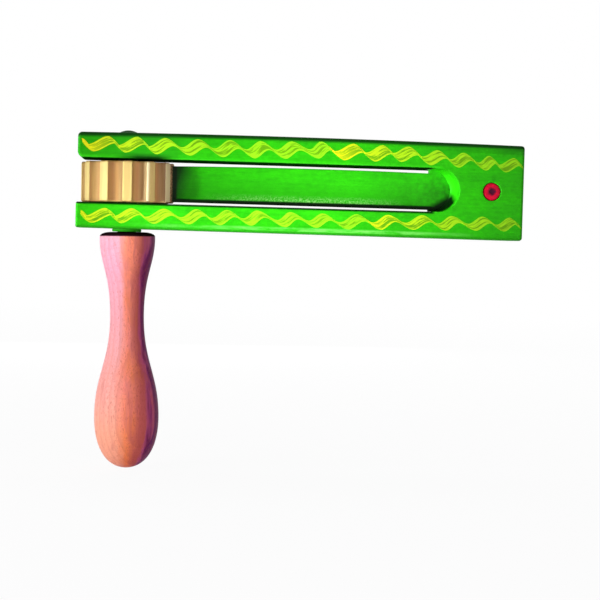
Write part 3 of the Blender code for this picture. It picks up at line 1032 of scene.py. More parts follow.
# %% What the hand did
UPPER_BORDER = {
    "valleys": [
        -14.2, -1.0, 12.0, 26.1, 40.0, 53.4, 66.3, 80.5, 91.4, 104.5, 115.8, 128.5, 140.6, 152.4, 160.9,
    ],
    "crests": [-8.0, 4.0, 15.6, 29.2, 42.6, 55.5, 68.6, 81.2, 95.1, 107.6, 118.6, 131.1, 142.3, 153.4, 164.4],
    "reload": [-21.0, 85.5],
    "loaded": 1.0,
    "edge": block_high.z,
    "top": (-0.00150, -0.00215, -0.00400),
    "bottom": (-0.0079, -0.0094, -0.0103),
    "brush": (0.0038, 0.0054, 0.0043),
    "sway": [
        (39, 0.0), (60, 0.6), (76, 1.2), (114, 1.2), (126, 0.6),
        (138, -0.1), (151, -0.8), (161, -1.4), (170, -1.4),
    ],
    "lean": math.radians(-43),
}
LOWER_BORDER = {
    "valleys": [-14.5, -2.3, 11.5, 26.3, 39.4, 52.6, 67.1, 80.4, 93.7, 107.9, 121.8, 135.7, 148.8, 161.0],
    "crests": [-8.6, 2.2, 15.6, 29.2, 42.0, 54.7, 68.8, 82.5, 97.1, 110.5, 125.3, 137.9, 151.4, 163.2],
    "reload": [-21.0, 102.5],
    "loaded": 0.75,
    "edge": block_low.z,
    "top": (0.0082, 0.0091, 0.0093),
    "bottom": (0.0020, 0.0027, 0.0034),
    "brush": (0.0042, 0.0046, 0.0043),
    "sway": [(75, 0.0), (92, -0.8), (103, -0.5), (125, -0.3), (137, 0.0)],
    "lean": math.radians(-39),
}


def drift(three, x):
    """A value that wanders along the frame, given at its left end, middle and right end."""
    share = (x - block_low.x) / (block_high.x - block_low.x)
    left, centre, right = three
    from_left = left * (1 - share) * (1 - 2 * share)
    from_right = right * share * (2 * share - 1)
    return from_left + centre * 4 * share * (1 - share) + from_right


def sway(border, x):
    """How far the hand strayed upwards at a place, from the places in millimetres where that was noted."""
    for (x0, z0), (x1, z1) in zip(border["sway"], border["sway"][1:]):
        if x0 <= 1000 * x < x1:
            return (z0 + (z1 - z0) * (1000 * x - x0) / (x1 - x0)) / 1000
    return 0.0


print(len(UPPER_BORDER["crests"]), "crests above the slot,", len(LOWER_BORDER["crests"]), "below it")

# %% [markdown]
# The brush is a narrow oval that leans. Its reach in a direction says how far paint gets from the brush's
# middle, so the turning points of the paint's rim, which one can see, give those of the brush's middle. At
# the left end the brush was pressed down harder, which makes a thicker start.

# %% The wave that the hand draws
BRUSH_THICKNESS = 0.0006
SET_DOWN = 2.6
SET_DOWN_FADE = 0.005
STEP = 0.00025
ROUND_TURNS = 0.9
WOBBLE = 0.0002
START = (0.0018, 0.0030)
END = (0.0012, 0.0026)
DOWN = Vector((0, -1))


def brush_reach(border, x, across):
    """From the middle of the oval brush to the point of its rim that is furthest across."""
    along = Vector((math.cos(border["lean"]), math.sin(border["lean"])))
    long_axis = along * drift(border["brush"], x) / 2
    pressed = 1 + SET_DOWN * math.exp((block_low.x - x) / SET_DOWN_FADE)
    short_axis = Vector((-along.y, along.x)) * pressed * BRUSH_THICKNESS / 2
    far = long_axis * long_axis.dot(across) + short_axis * short_axis.dot(across)
    return far / math.hypot(long_axis.dot(across), short_axis.dot(across))


def wave_knots(border, hand):
    """The turning points of the wave: where the middle of the brush is highest and lowest."""
    knots = []
    for valley, crest in zip(border["valleys"], border["crests"]):
        reach = brush_reach(border, valley / 1000, DOWN)
        low_x, high_x = valley / 1000 - reach.x, crest / 1000 + reach.x
        wobble = hand.uniform(-WOBBLE, WOBBLE)
        low_z = border["edge"] + drift(border["bottom"], low_x) + sway(border, low_x)
        high_z = border["edge"] + drift(border["top"], high_x) + sway(border, high_x)
        knots.append((low_x, low_z - reach.y + wobble))
        knots.append((high_x, high_z + reach.y + wobble))
    start = (block_low.x + START[0], knots[0][1] + START[1])
    end = (block_high.x - END[0], knots[-1][1] - END[1])
    return [start, *knots, end]


def wave_points(knots):
    """The wave through its turning points: nearly straight strokes with rounded turns, in even steps."""
    points = []
    for (x0, z0), (x1, z1) in zip(knots, knots[1:]):
        count = max(2, round((x1 - x0) / STEP))
        for step in range(count):
            share = step / count
            ease = share + ROUND_TURNS * ((1 - math.cos(math.pi * share)) / 2 - share)
            points.append(Vector((x0 + (x1 - x0) * share, z0 + (z1 - z0) * ease)))
    return [*points, Vector(knots[-1])]


print("upper wave has", len(wave_points(wave_knots(UPPER_BORDER, random.Random(3)))), "points")

# %% [markdown]
# Now the brush is swept along the wave: a straight row of points, the brush's edge, is set down at every
# step. Each point is raised by a thin layer of paint, with a ridge for each bunch of bristles, and follows
# the frame's rounded edges where the stroke runs over them. A second row below the surface closes the
# layer, so that it has no open edge.

# %% Rows of paint under the brush
LANES = 19
PAINT_HEIGHT = 0.00006
PAINT_SINK = 0.00008
BRISTLE_BUNCHES = 5
BRISTLE_WANDER = 180
PAINT_RIM = 0.13
DRY_LOAD = 0.12
DRY_DISTANCE = 0.026
STROKE_TIP = 0.0012


def edge_drop(x, z):
    """How far the rounded edges of the face lie behind it."""
    edges = [block_high.z - z, z - block_low.z, x - block_low.x, block_high.x - x]
    if x < SLIT_END:
        edges += [abs(z - slot_high), abs(z - slot_low)]
    depth = max(0.0, EDGE_EASE - max(0.0, min(edges)))
    return EDGE_EASE - math.sqrt(EDGE_EASE**2 - depth**2)


def paint_rows(points, border, facing, hand):
    """The points of a stroke, upper side first, and for each the numbers across, along, load and spread."""
    count = len(points)
    verts, marks = [], []
    travelled = 0.0
    phase = [hand.uniform(0, math.tau) for _ in range(LANES)]
    for i, centre in enumerate(points):
        travelled += (centre - points[i - 1]).length if i else 0.0
        near_end = min(i, count - 1 - i) * STEP
        width = min(1.0, 0.7 + 0.3 * math.sqrt(min(1.0, near_end / STROKE_TIP)))
        heading = (points[min(i + 3, count - 1)] - points[max(i - 3, 0)]).normalized()
        wet = DRY_LOAD + (border["loaded"] - DRY_LOAD) * math.exp(-travelled / DRY_DISTANCE)
        edge = brush_reach(border, centre.x, Vector((heading.y, -heading.x))) * width
        spread = 2 * edge.length / drift(border["brush"], centre.x)
        for lane in range(LANES):
            across = lane / (LANES - 1)
            spot = centre + edge * (2 * across - 1)
            rim = max(0.0, 1 - min(across, 1 - across) / PAINT_RIM)
            wander = 0.5 * math.sin(BRISTLE_WANDER * travelled + phase[lane])
            ridge = 0.5 + 0.5 * math.cos(math.tau * BRISTLE_BUNCHES * across + wander)
            height = PAINT_HEIGHT * (0.55 + 0.5 * rim + 0.55 * ridge * (1 - rim))
            verts.append((spot.x, facing * (half_depth + height - edge_drop(spot.x, spot.y)), spot.y))
            marks.append((across, travelled, wet, spread))
    for i in range(count):
        for lane in (i * LANES, i * LANES + LANES - 1):
            x, y, z = verts[lane]
            verts.append((x, y - facing * PAINT_SINK, z))
            marks.append(marks[lane])
    return verts, marks


print("a row of paint has", LANES, "points")

# %% [markdown]
# The rows are joined by faces into a thin closed layer: an upper side, an underside, two long sides and two
# ends. Each border is painted in as many strokes as the brush was dipped, with a small overlap, once on the
# front and once on the back, where the hand wavers differently.

# %% Sweep the brush along the wave
STROKE_OVERLAP = 0.0007
MARKS = ("across", "along", "load", "spread")


def layer_faces(count):
    """The faces that close the rows of a stroke into a layer."""
    under = count * LANES
    faces = []
    for i in range(count - 1):
        here, there = i * LANES, (i + 1) * LANES
        for lane in range(LANES - 1):
            faces.append((here + lane, there + lane, there + lane + 1, here + lane + 1))
        low_here, low_there = under + 2 * i, under + 2 * i + 2
        faces.append((low_here, low_here + 1, low_there + 1, low_there))
        faces.append((here, low_here, low_there, there))
        faces.append((here + LANES - 1, there + LANES - 1, low_there + 1, low_here + 1))
    last = (count - 1) * LANES
    faces.append((*range(LANES), under + 1, under))
    faces.append((*range(last + LANES - 1, last - 1, -1), under + 2 * count - 2, under + 2 * count - 1))
    return faces


def stroke(name, points, border, facing, hand):
    """One brush stroke as a thin closed layer of paint on the front (-1) or back (1) face."""
    verts, marks = paint_rows(points, border, facing, hand)
    mesh = bpy.data.meshes.new(name)
    mesh.from_pydata(verts, [], layer_faces(len(points)))
    for label, values in zip(MARKS, zip(*marks)):
        mesh.attributes.new(label, "FLOAT", "POINT").data.foreach_set("value", values)
    face_outwards(mesh)
    piece = into_scene(name, mesh)
    smooth_sides(piece, 35)
    coat_with(piece, yellow_brush_paint)
    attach(piece, "frame")


def paint_border(label, border, facing, seed):
    """A whole border on one face, stroke after stroke."""
    hand = random.Random(seed)
    points = wave_points(wave_knots(border, hand))
    starts = [x / 1000 for x in border["reload"]] + [block_high.x]
    for i, (start, end) in enumerate(zip(starts, starts[1:])):
        part = [p for p in points if start - STROKE_OVERLAP <= p.x <= end + STROKE_OVERLAP]
        stroke(f"{label}_stroke_{i + 1}", part, border, facing, hand)


paint_border("front_upper", UPPER_BORDER, -1, 3)
paint_border("front_lower", LOWER_BORDER, -1, 5)
paint_border("back_upper", UPPER_BORDER, 1, 11)
paint_border("back_lower", LOWER_BORDER, 1, 13)

# %% [markdown]
# ## The tongue
#
# The tongue is one thin slat of springy wood. Its tail fills the slot and is pegged into the end block, and
# the rest is free between two slits and rests with its rounded tip in a flute of the wheel. Both broad
# sides are milled slightly hollow, and the upper edge bows a little. A grid of points gives this shape
# best: each point gets its own thickness from its place along and across the slat, and the whole slat leans
# towards the flute in the curve that a strip takes when it is clamped at one end.

# %% Thickness and lean of the slat
ROOT_HALF = 0.0015
TIP_HALF = 0.0010
HOLLOW = 0.0008
HOLLOW_STARTS = 14
SLAT_EASE = 0.0006
EDGE_FIBRES = 0.0005
UPPER_BOW = 0.0009
BOW_CURVE = (0.6, 2.09, -2.69)
tip_x = blade_low.x + TIP_HALF
lean = blade_low.y + TIP_HALF
slat_low = slot_low + LOWER_SLIT - EDGE_FIBRES
slat_high = slot_high - UPPER_SLIT


def slat_share(x):
    """0 at the slit's end, 1 at the tip."""
    return min(1.0, max(0.0, (SLIT_END - x) / (SLIT_END - tip_x)))


def slat_middle(x):
    """How far the middle of the slat lies in front of the frame's middle: a clamped strip's curve."""
    share = slat_share(x)
    return lean * (3 * share**2 - share**3) / 2


def slat_rise(x, z):
    """How much higher a point lies because the upper edge bows, most a little right of the slat's middle."""
    share = slat_share(x)
    up = min(1.0, max(0.0, (z - slat_low) / (slat_high - slat_low)))
    return UPPER_BOW * up * (BOW_CURVE[0] + BOW_CURVE[1] * share + BOW_CURVE[2] * share**2)


def slat_half(x, z):
    """Half the slat's thickness at a place on its broad side."""
    share = slat_share(x)
    half = ROOT_HALF + (TIP_HALF - ROOT_HALF) * share
    freed = min(1.0, share * HOLLOW_STARTS)
    spread = (z - (slat_low + slat_high) / 2) / ((slat_high - slat_low) / 2)
    half -= HOLLOW * freed * max(0.0, 1 - spread**2)
    if share > 0:
        rim = min(z - slat_low, slat_high - z)
        eased = max(0.0, SLAT_EASE - max(0.0, rim)) * freed
        half -= SLAT_EASE - math.sqrt(SLAT_EASE**2 - eased**2)
    if x < tip_x:
        half *= math.sqrt(max(0.0, 1 - ((tip_x - x) / TIP_HALF) ** 2))
    return half


print(f"slat leans {1000 * lean:.1f} mm to its flute, tip at {1000 * tip_x:.1f} mm")

# %% [markdown]
# The grid has a station every few millimetres along the slat and rows that lie close together where edges
# are rounded. The first and the last row belong to the tail alone, which is as high as the slot.

# %% Stations and rows of the slat
FREE_STEPS = 70
INNER_ROWS = 10
TIP_ANGLES = (88, 70, 50, 30, 12)
TAIL_STEPS = (0.0, 0.002, 0.006)
BEFORE_PEG = 0.005
EDGE_ROWS = [0.0, 0.00012, 0.0003, 0.0005, 0.0008, 0.0012]
tip_stations = [tip_x - TIP_HALF * math.sin(math.radians(angle)) for angle in TIP_ANGLES]
free_stations = [tip_x + (SLIT_END - tip_x) * i / FREE_STEPS for i in range(FREE_STEPS)]
tail_stations = [*from_edge(SLIT_END, TAIL_STEPS), SLOT_END, SCOOP_END, PEG_X - BEFORE_PEG, tail_high.x]
stations = tip_stations + free_stations + tail_stations
inner_low, inner_high = slat_low + EDGE_ROWS[-1], slat_high - EDGE_ROWS[-1]
inner_rows = [inner_low + (inner_high - inner_low) * i / INNER_ROWS for i in range(1, INNER_ROWS)]
blade_rows = [slat_low + r for r in EDGE_ROWS] + inner_rows + [slat_high - r for r in reversed(EDGE_ROWS)]
rows = [slot_low + FIT, *blade_rows, tail_high.z]
print(len(stations), "stations and", len(rows), "rows")

# %% [markdown]
# Two sheets of the grid, front and back, are joined round the rim. An edge that belongs to one cell only
# lies on the rim, so the rim is found by striking out every edge that turns up twice. After the peg's hole
# is drilled, the place and the facing at rest are written on each point, so that the pattern of the finish
# stays put when the slat bends.

# %% The slat
SLAT_HOLE_PLAY = 0.0001
SLAT_DRILL = 0.004


def build_slat():
    """Two sheets of grid points, joined round their rim."""
    made = bmesh.new()
    sides = {}
    for i, x in enumerate(stations):
        for j, z in enumerate(rows):
            tail_only = j in (0, len(rows) - 1)
            if tail_only and x < SLIT_END:
                continue
            rise = 0.0 if tail_only else slat_rise(x, z)
            for facing in (-1, 1):
                spot = (x, slat_middle(x) + facing * slat_half(x, z), z + rise)
                sides[i, j, facing] = made.verts.new(spot)
    rim = {}
    for i in range(len(stations) - 1):
        for j in range(len(rows) - 1):
            cell = [(i, j), (i + 1, j), (i + 1, j + 1), (i, j + 1)]
            if any((*corner, 1) not in sides for corner in cell):
                continue
            made.faces.new([sides[*corner, -1] for corner in cell])
            made.faces.new([sides[*corner, 1] for corner in reversed(cell)])
            for a, b in zip(cell, cell[1:] + cell[:1]):
                key = frozenset((a, b))
                rim[key] = None if key in rim else (a, b)
    for a, b in filter(None, rim.values()):
        made.faces.new([sides[*b, -1], sides[*a, -1], sides[*a, 1], sides[*b, 1]])
    return from_points("springy_tongue", made, merge=0.000002)


springy_tongue = build_slat()
peg_place = (PEG_X, 0, slot_middle)
carve(springy_tongue, drilled(PEG_RADIUS + SLAT_HOLE_PLAY, SLAT_DRILL, SLAT_HOLE_PLAY, peg_place, SIDEWAYS))
smooth_sides(springy_tongue, 40)
rest_place = springy_tongue.data.attributes.new("rest_place", "FLOAT_VECTOR", "POINT")
rest_facing = springy_tongue.data.attributes.new("rest_facing", "FLOAT_VECTOR", "POINT")
for vertex in springy_tongue.data.vertices:
    rest_place.data[vertex.index].vector = vertex.co
    rest_facing.data[vertex.index].vector = vertex.normal
print("slat of", len(springy_tongue.data.polygons), "faces")

# %% [markdown]
# The slat carries the same lacquer as the frame, with painted shade that deepens the green towards its lower
# side. The cutter left fibres standing above the lower edge, where the paint is thin and pale, with a painted
# highlight on them, and the lower edge itself is painted black as the shadow of the lower arm. Towards its
# root lies blotched painted shade, beside the wheel a painted shadow of the wheel, and at the tip the wheel
# has rubbed the coat down to bare wood. As on the frame, these are masks that are laid over the coat one
# after the other.

# %% Masks for the slat's coat
# Painted light on the slat: the deeper, root and black greens are painted shade and shadow, the pale fibre
# green partly a painted highlight.
PALE_FIBRE_HIGHLIGHT = (0.30, 0.82, 0.19)
SLAT_SHADE = (0.018, 0.34, 0.004)
ROOT_SHADE = (0.012, 0.15, 0.004)
BARE_WOOD = (0.62, 0.42, 0.17)
FIBRES = (2100.0, 2100.0, 1700.0)
BLOTCHES = (500.0, 500.0, 500.0)
FIBRE_EDGE = (0.0046, 0.0019)  # from the lower edge
FIBRE_ALONG = (0.03, 0.06, 0.10, 0.12)
LOWER_EDGE_SHADOW = (0.0019, 0.0013)  # from the lower edge
ROOT_ALONG = (-0.028, 0.018)  # from the slits' end
SHADE_MARGIN = 0.002
WHEEL_SHADOW_SLANT = 0.3
WHEEL_SHADOW = (0.0268, 0.0206)
BESIDE_WHEEL = (0.0214, 0.0204)
RUBBED_TIP = (0.0012, 0.0)  # from the tip


def torn_and_lit_fibres(tree, x, z, fibres):
    """Pale fibres above the lower edge, along the middle of the slat: thin paint with a painted highlight."""
    low_edge = between(tree, z, *from_edge(slat_low, FIBRE_EDGE), 0.0, 0.8)
    return product(tree, low_edge, band(tree, x, *FIBRE_ALONG), between(tree, fibres, 0.44, 0.64))


def slat_root_shade(tree, place, x, z):
    """Blotched painted shade towards the root, darker below."""
    blotches = between(tree, speckle(tree, place, BLOTCHES, 4.0), 0.3, 0.7, 0.6, 1.3)
    falling = between(tree, z, slat_high, slot_middle, 0.5, 1.0)
    return product(tree, between(tree, x, *from_edge(SLIT_END, ROOT_ALONG)), blotches, falling)


print("masks for the slat's coat ready")

# %% [markdown]
# The masks are laid on from the widest to the narrowest. The underside of the slat gets the same matte dark
# coat as the slot, painted shade.


def slat_lacquer():
    """The frame's lacquer with the slat's painted shade and shadows, a painted highlight on its fibres, and
    wear at its tip.
    """
    material = lacquer("slat_lacquer", GREEN_DEEP, GREEN_BRIGHT, GREEN_THIN, 0.5, bends=True)
    tree, shader, coat = reopen(material)
    place = source_of(tree, bends=True)[0]
    x, _, z = split(tree, place)
    fibres = speckle(tree, place, FIBRES, 4.0)
    # Painted shade: the green deepens towards the lower side.
    shaded = between(tree, z, slat_high - SHADE_MARGIN, slat_low + SHADE_MARGIN, 0.0, 0.75)
    # Painted shadow of the wheel, slanting across the slat and black right beside the wheel.
    off_middle = sums(tree, "SUBTRACT", z, slot_middle)
    slanted = sums(tree, "SUBTRACT", x, product(tree, off_middle, WHEEL_SHADOW_SLANT))
    # Painted shadow of the lower arm along the slat's lower edge, and the painted shadow in the scoop.
    under_edge = between(tree, z, *from_edge(slat_low, LOWER_EDGE_SHADOW))
    black = either(tree, under_edge, between(tree, x, *BESIDE_WHEEL), scoop_shadow(tree, place))
    rubbed = product(tree, between(tree, x, *from_edge(tip_x, RUBBED_TIP)), between(tree, fibres, 0.35, 0.55))
    colour = blend_colour(tree, shaded, coat, SLAT_SHADE)
    colour = blend_colour(tree, slat_root_shade(tree, place, x, z), colour, ROOT_SHADE)
    colour = blend_colour(tree, torn_and_lit_fibres(tree, x, z, fibres), colour, PALE_FIBRE_HIGHLIGHT)
    colour = blend_colour(tree, between(tree, slanted, *WHEEL_SHADOW), colour, COAT_PAINTED_SHADE)
    colour = blend_colour(tree, black, colour, COAT_PAINTED_BLACK)
    colour = blend_colour(tree, rubbed, colour, BARE_WOOD)
    tree.links.new(colour, shader.inputs["Base Color"])
    return material


coat_with(springy_tongue, slat_lacquer())
# The slat's underside gets the dark matte coat of painted shade.
give_faces(springy_tongue, slot_shade_coat, lambda face: face.normal.z < -0.7)
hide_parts("tongue_blade", "tongue_tail")
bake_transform(springy_tongue)

# %% [markdown]
# ## The fluted wheel
#
# The wheel is a short length of turned, bare, pale wood. Twelve round flutes are cut along its rim, and the
# lands between them are the teeth, with eased corners. Twelve Boolean cuts would leave hard edges that are
# difficult to round afterwards. So one tooth is drawn as an outline, flute, corner, land and next corner,
# and turned twelve times.

# %% Outline of the rim
FLUTES = 12
FLUTE_RADIUS = 0.0031
FLUTE_STEPS = 14
LAND_EASE = 0.00045
LAND_STEPS = 6
CORNER_SHARES = (0.25, 0.5, 0.75)
PITCH = math.tau / FLUTES
HALF_FLUTE = 2 * math.asin(FLUTE_RADIUS / (2 * WHEEL_RADIUS))
flute_phase = math.atan2(lean, tip_x)


def on_rim(angle):
    """A point on the wheel's rim."""
    return Vector((WHEEL_RADIUS * math.cos(angle), WHEEL_RADIUS * math.sin(angle)))


def rim_outline():
    """Points round the rim: a flute, an eased corner, a land and the next eased corner, twelve times."""
    ease = 2 * math.asin(LAND_EASE / (2 * WHEEL_RADIUS))
    opening = math.pi / 2 - HALF_FLUTE / 2 - LAND_EASE / FLUTE_RADIUS
    tooth = []
    for step in range(FLUTE_STEPS + 1):
        angle = math.pi + opening * (1 - 2 * step / FLUTE_STEPS)
        tooth.append(Vector((WHEEL_RADIUS + FLUTE_RADIUS * math.cos(angle), FLUTE_RADIUS * math.sin(angle))))
    top, corner, land = tooth[-1], on_rim(HALF_FLUTE), on_rim(HALF_FLUTE + ease)
    eased = [top * (1 - s) ** 2 + corner * 2 * s * (1 - s) + land * s**2 for s in CORNER_SHARES]
    span = PITCH - 2 * (HALF_FLUTE + ease)
    lands = [on_rim(HALF_FLUTE + ease + span * step / LAND_STEPS) for step in range(LAND_STEPS + 1)]
    across = Matrix.Rotation(PITCH, 2) @ Matrix(((1, 0), (0, -1)))
    tooth += eased + lands + [across @ spot for spot in reversed(eased)]
    turns = [Matrix.Rotation(flute_phase + k * PITCH, 2) for k in range(FLUTES)]
    return [turn @ spot for turn in turns for spot in tooth]


rim_points = rim_outline()
print("rim outline of", len(rim_points), "points")

# %% [markdown]
# Copies of the rim's outline, each a little further in, are stacked and joined: that rounds the edges of
# both end faces. The inside is the bore for the axle, and a small hole takes the brad that keys the two
# together. The wheel is a little shorter than its room in the slot, so that it turns freely.

# %% Stack the outlines into a wheel
WHEEL_EDGE = 0.0009
WHEEL_LIFT = 0.00065
ROUND_STEPS = 5
AXLE_BORE = AXLE_RADIUS + FIT
PIN_HOLE = 0.0012
PIN_DRILL = 0.014
PIN_FLUTE = 4
PIN_MIDDLE = 0.0105


def inward(points, distance):
    """The outline moved towards its own inside."""
    moved = []
    for i, here in enumerate(points):
        along = (points[(i + 1) % len(points)] - points[i - 1]).normalized()
        moved.append(here + Vector((-along.y, along.x)) * distance)
    return moved


def stacked(name, rings):
    """Rings of (points, height), joined in order and back to the first."""
    made = bmesh.new()
    layers = [[made.verts.new((p.x, p.y, height)) for p in points] for points, height in rings]
    for one, other in zip(layers, layers[1:] + layers[:1]):
        for i in range(len(one)):
            made.faces.new((one[i - 1], one[i], other[i], other[i - 1]))
    return from_points(name, made)


wheel_floor = wheel_low.z + WHEEL_LIFT
upper_rings, lower_rings = [], []
for angle in reversed(quarter(ROUND_STEPS)):
    ring = inward(rim_points, WHEEL_EDGE * (1 - math.cos(angle)))
    rise = WHEEL_EDGE * (1 - math.sin(angle))
    upper_rings.append((ring, wheel_high.z - rise))
    lower_rings.insert(0, (ring, wheel_floor + rise))
bore = [p.normalized() * AXLE_BORE for p in rim_points]
wheel_rings = [(bore, wheel_floor), (bore, wheel_high.z), *upper_rings, *lower_rings]
fluted_wheel = stacked("fluted_wheel", wheel_rings)
PIN_ANGLE = flute_phase + PIN_FLUTE * PITCH
pin_turn = Matrix.Rotation(PIN_ANGLE, 4, "Z") @ Matrix.Rotation(math.pi / 2, 4, "Y")


def along_pin(distance):
    """A point on the brad's line, at a distance from the axle's middle."""
    return distance * math.cos(PIN_ANGLE), distance * math.sin(PIN_ANGLE), wheel_middle


carve(fluted_wheel, drilled(PIN_HOLE, PIN_DRILL, 0.0, along_pin(PIN_MIDDLE), pin_turn))
smooth_sides(fluted_wheel, 38)
keep_flats(fluted_wheel)
print("wheel of", len(fluted_wheel.data.polygons), "faces")

# %% [markdown]
# Bare wood shows two faces. Along the grain, which here runs up the wheel, it has fine streaks. On the end
# faces the same streaks are cut across and show as rings and pores. A pattern that is stretched along the
# grain gives both at once, because it is fixed in space and the surface simply cuts through it. A band across
# the wheel and its right-hand edge are painted almost white, a painted highlight on the lands. The flutes are
# browner, partly where the cutter warmed them and partly as painted shade in the hollows, and one flank is
# painted darker still as shade.

# %% Pale wood for the wheel
PALE_LIGHT = (0.64, 0.56, 0.175)
PALE_TAN = (0.60, 0.47, 0.14)
FLUTE_TAN = (0.48, 0.29, 0.085)
FLUTE_BROWN = (0.46, 0.24, 0.072)
FLANK_SHADE = (0.26, 0.145, 0.048)
# Painted highlight on some lands, and where it lies:
LAND_HIGHLIGHT = (0.95, 0.93, 0.50)
WHEEL_STREAKS = (900.0, 900.0, 35.0)
WHEEL_PORES = (3200.0, 3200.0, 160.0)
HEART_OFF = (0.004, -0.003, 0.0)
LAND_HIGHLIGHT_BAND = (0.0070, 0.0074, 0.0090, 0.0096)
EDGE_HIGHLIGHT_SIDE = (0.0146, 0.0152)
EDGE_HIGHLIGHT_SHARE = 0.6


def year_rings(tree, place):
    """Rings round a heart that lies a little beside the wheel's middle."""
    stretched = {"Vector": place, "Location": HEART_OFF, "Scale": (1.0, 1.0, 0.05)}
    scaled = grow(tree, "ShaderNodeMapping", stretched).outputs[0]
    sockets = {"Vector": scaled, "Scale": 260.0, "Distortion": 2.5, "Detail": 3.0, "Detail Scale": 2.0}
    return grow(tree, "ShaderNodeTexWave", sockets, wave_type="RINGS", rings_direction="Z").outputs["Fac"]


def pale_wood():
    """Bare pale wood with browner flutes, partly painted shade, and painted highlights on some lands."""
    material, tree, shader, place = new_finish("pale_wood")
    streaks = speckle(tree, place, WHEEL_STREAKS, 5.0)
    pores = speckle(tree, place, WHEEL_PORES, 2.0)
    tone = weighted(tree, (streaks, 0.65), (year_rings(tree, place), 0.35))
    heart = ramp(tree, tone, (0.3, PALE_TAN), (0.62, PALE_LIGHT))
    x = split(tree, place)[0]
    # Painted highlight: lands in a band and at the right-hand edge are made almost white.
    lit_lands = either(tree, band(tree, x, *LAND_HIGHLIGHT_BAND), between(tree, x, *EDGE_HIGHLIGHT_SIDE, 0.0, EDGE_HIGHLIGHT_SHARE))
    wood = blend_colour(tree, lit_lands, heart, LAND_HIGHLIGHT)
    # Browner flutes: partly the cutter's warmth, partly painted shade in the hollow, darkest on one flank.
    in_flute = between(tree, stored(tree, "groove"), 0.02, 0.10)
    rubbed = product(tree, in_flute, between(tree, streaks, 0.25, 0.7, 1.0, 0.75))
    brown = ramp(tree, stored(tree, "flank"), (0.1, FLUTE_TAN), (0.5, FLUTE_BROWN), (0.85, FLANK_SHADE))
    tree.links.new(blend_colour(tree, rubbed, wood, brown), shader.inputs["Base Color"])
    tree.links.new(between(tree, pores, 0.3, 0.7, 0.5, 0.7), shader.inputs["Roughness"])
    shader.inputs["Specular IOR Level"].default_value = 0.25
    relief(tree, shader, weighted(tree, (streaks, 0.5), (pores, 0.5)), 0.0002)
    return material


wheel_wood = pale_wood()
print("finish:", wheel_wood.name)

# %% [markdown]
# The finish needs to know how deep in a flute each point lies and on which flank, so both are stored on the
# points. The axle has play in the frame: the wheel on it is tipped by a fraction of a degree, and so is the
# handle later.

# %% Flutes, tilt and finish of the wheel
WHEEL_TIP = math.radians(-0.4)
RIM_ZONE = 1.6 * FLUTE_RADIUS


def flute_depth(point):
    """0 on the lands and away from the rim, 1 at the bottom of a flute."""
    below = WHEEL_RADIUS - math.hypot(point.x, point.y)
    return max(0.0, min(1.0, below / FLUTE_RADIUS)) if below < RIM_ZONE else 0.0


def flute_flank(point):
    """0 at one side of a flute, 1 at the other."""
    angle = math.atan2(point.y, point.x) - flute_phase
    return 0.5 + 0.5 * (angle - PITCH * round(angle / PITCH)) / HALF_FLUTE


def hung(angle):
    """A small tilt about the middle of the frame, as play on the axle allows it."""
    middle = Matrix.Translation((0, 0, slot_middle))
    return middle @ Matrix.Rotation(angle, 4, "Y") @ middle.inverted()


for label, measure in (("groove", flute_depth), ("flank", flute_flank)):
    values = [measure(vertex.co) for vertex in fluted_wheel.data.vertices]
    fluted_wheel.data.attributes.new(label, "FLOAT", "POINT").data.foreach_set("value", values)
fluted_wheel.data.transform(hung(WHEEL_TIP))
coat_with(fluted_wheel, wheel_wood)
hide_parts("ratchet_wheel")
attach(fluted_wheel, "handle")
print("wheel is bare pale wood")

# %% [markdown]
# ## Pin, axle, collar and peg
#
# The small pieces are all round. A brad keys the wheel to the axle. It is a plain steel wire that hardly
# shows, so the model's own solid is kept and only gets a finish of fine scratches. The axle and the collar
# carry darker coats of the same lacquer, the collar's darker green being painted shade. Inside the frame the
# axle is painted black as shade, because no light falls on it there.

# %% Small finishes
STEEL_DARK = (0.26, 0.25, 0.24)
STEEL_BRIGHT = (0.46, 0.45, 0.44)
DRAWN_WIRE = (400.0, 400.0, 4000.0)
AXLE_GREENS = (0.003, 0.045, 0.003), (0.006, 0.090, 0.004), (0.010, 0.130, 0.006)
COLLAR_SHADE_GREENS = (0.010, 0.20, 0.004), (0.020, 0.36, 0.005), (0.03, 0.4, 0.01)
SMALL_GLOSS = 0.5
INSIDE_FRAME = (-0.0010, -0.0020)  # from the frame's top
material, tree, shader, place = new_finish("brad_steel")
scratches = speckle(tree, place, DRAWN_WIRE, 3.0)
tree.links.new(ramp(tree, scratches, (0.3, STEEL_DARK), (0.7, STEEL_BRIGHT)), shader.inputs["Base Color"])
tree.links.new(between(tree, scratches, 0.3, 0.7, 0.28, 0.5), shader.inputs["Roughness"])
shader.inputs["Metallic"].default_value = 1.0
coat_with(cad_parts["wheel_pin"], material)

axle_lacquer = lacquer("axle_lacquer", *AXLE_GREENS, SMALL_GLOSS)
tree, shader, painted = reopen(axle_lacquer)
height = split(tree, source_of(tree)[0])[2]
# Painted shade: the axle is black where it lies inside the frame.
shade_inside_frame = between(tree, height, *from_edge(block_high.z, INSIDE_FRAME))
tree.links.new(blend_colour(tree, shade_inside_frame, painted, COAT_PAINTED_BLACK), shader.inputs["Base Color"])
# The collar's darker greens are painted shade.
collar_lacquer = lacquer("collar_lacquer", *COLLAR_SHADE_GREENS, SMALL_GLOSS)
print("finishes:", material.name, axle_lacquer.name, collar_lacquer.name)

# %% [markdown]
# The axle is a dowel that ends in a low dome on top of the frame. Like the collar and the peg it is one
# profile on a lathe: that is how they are made, and the Screw modifier does just that.

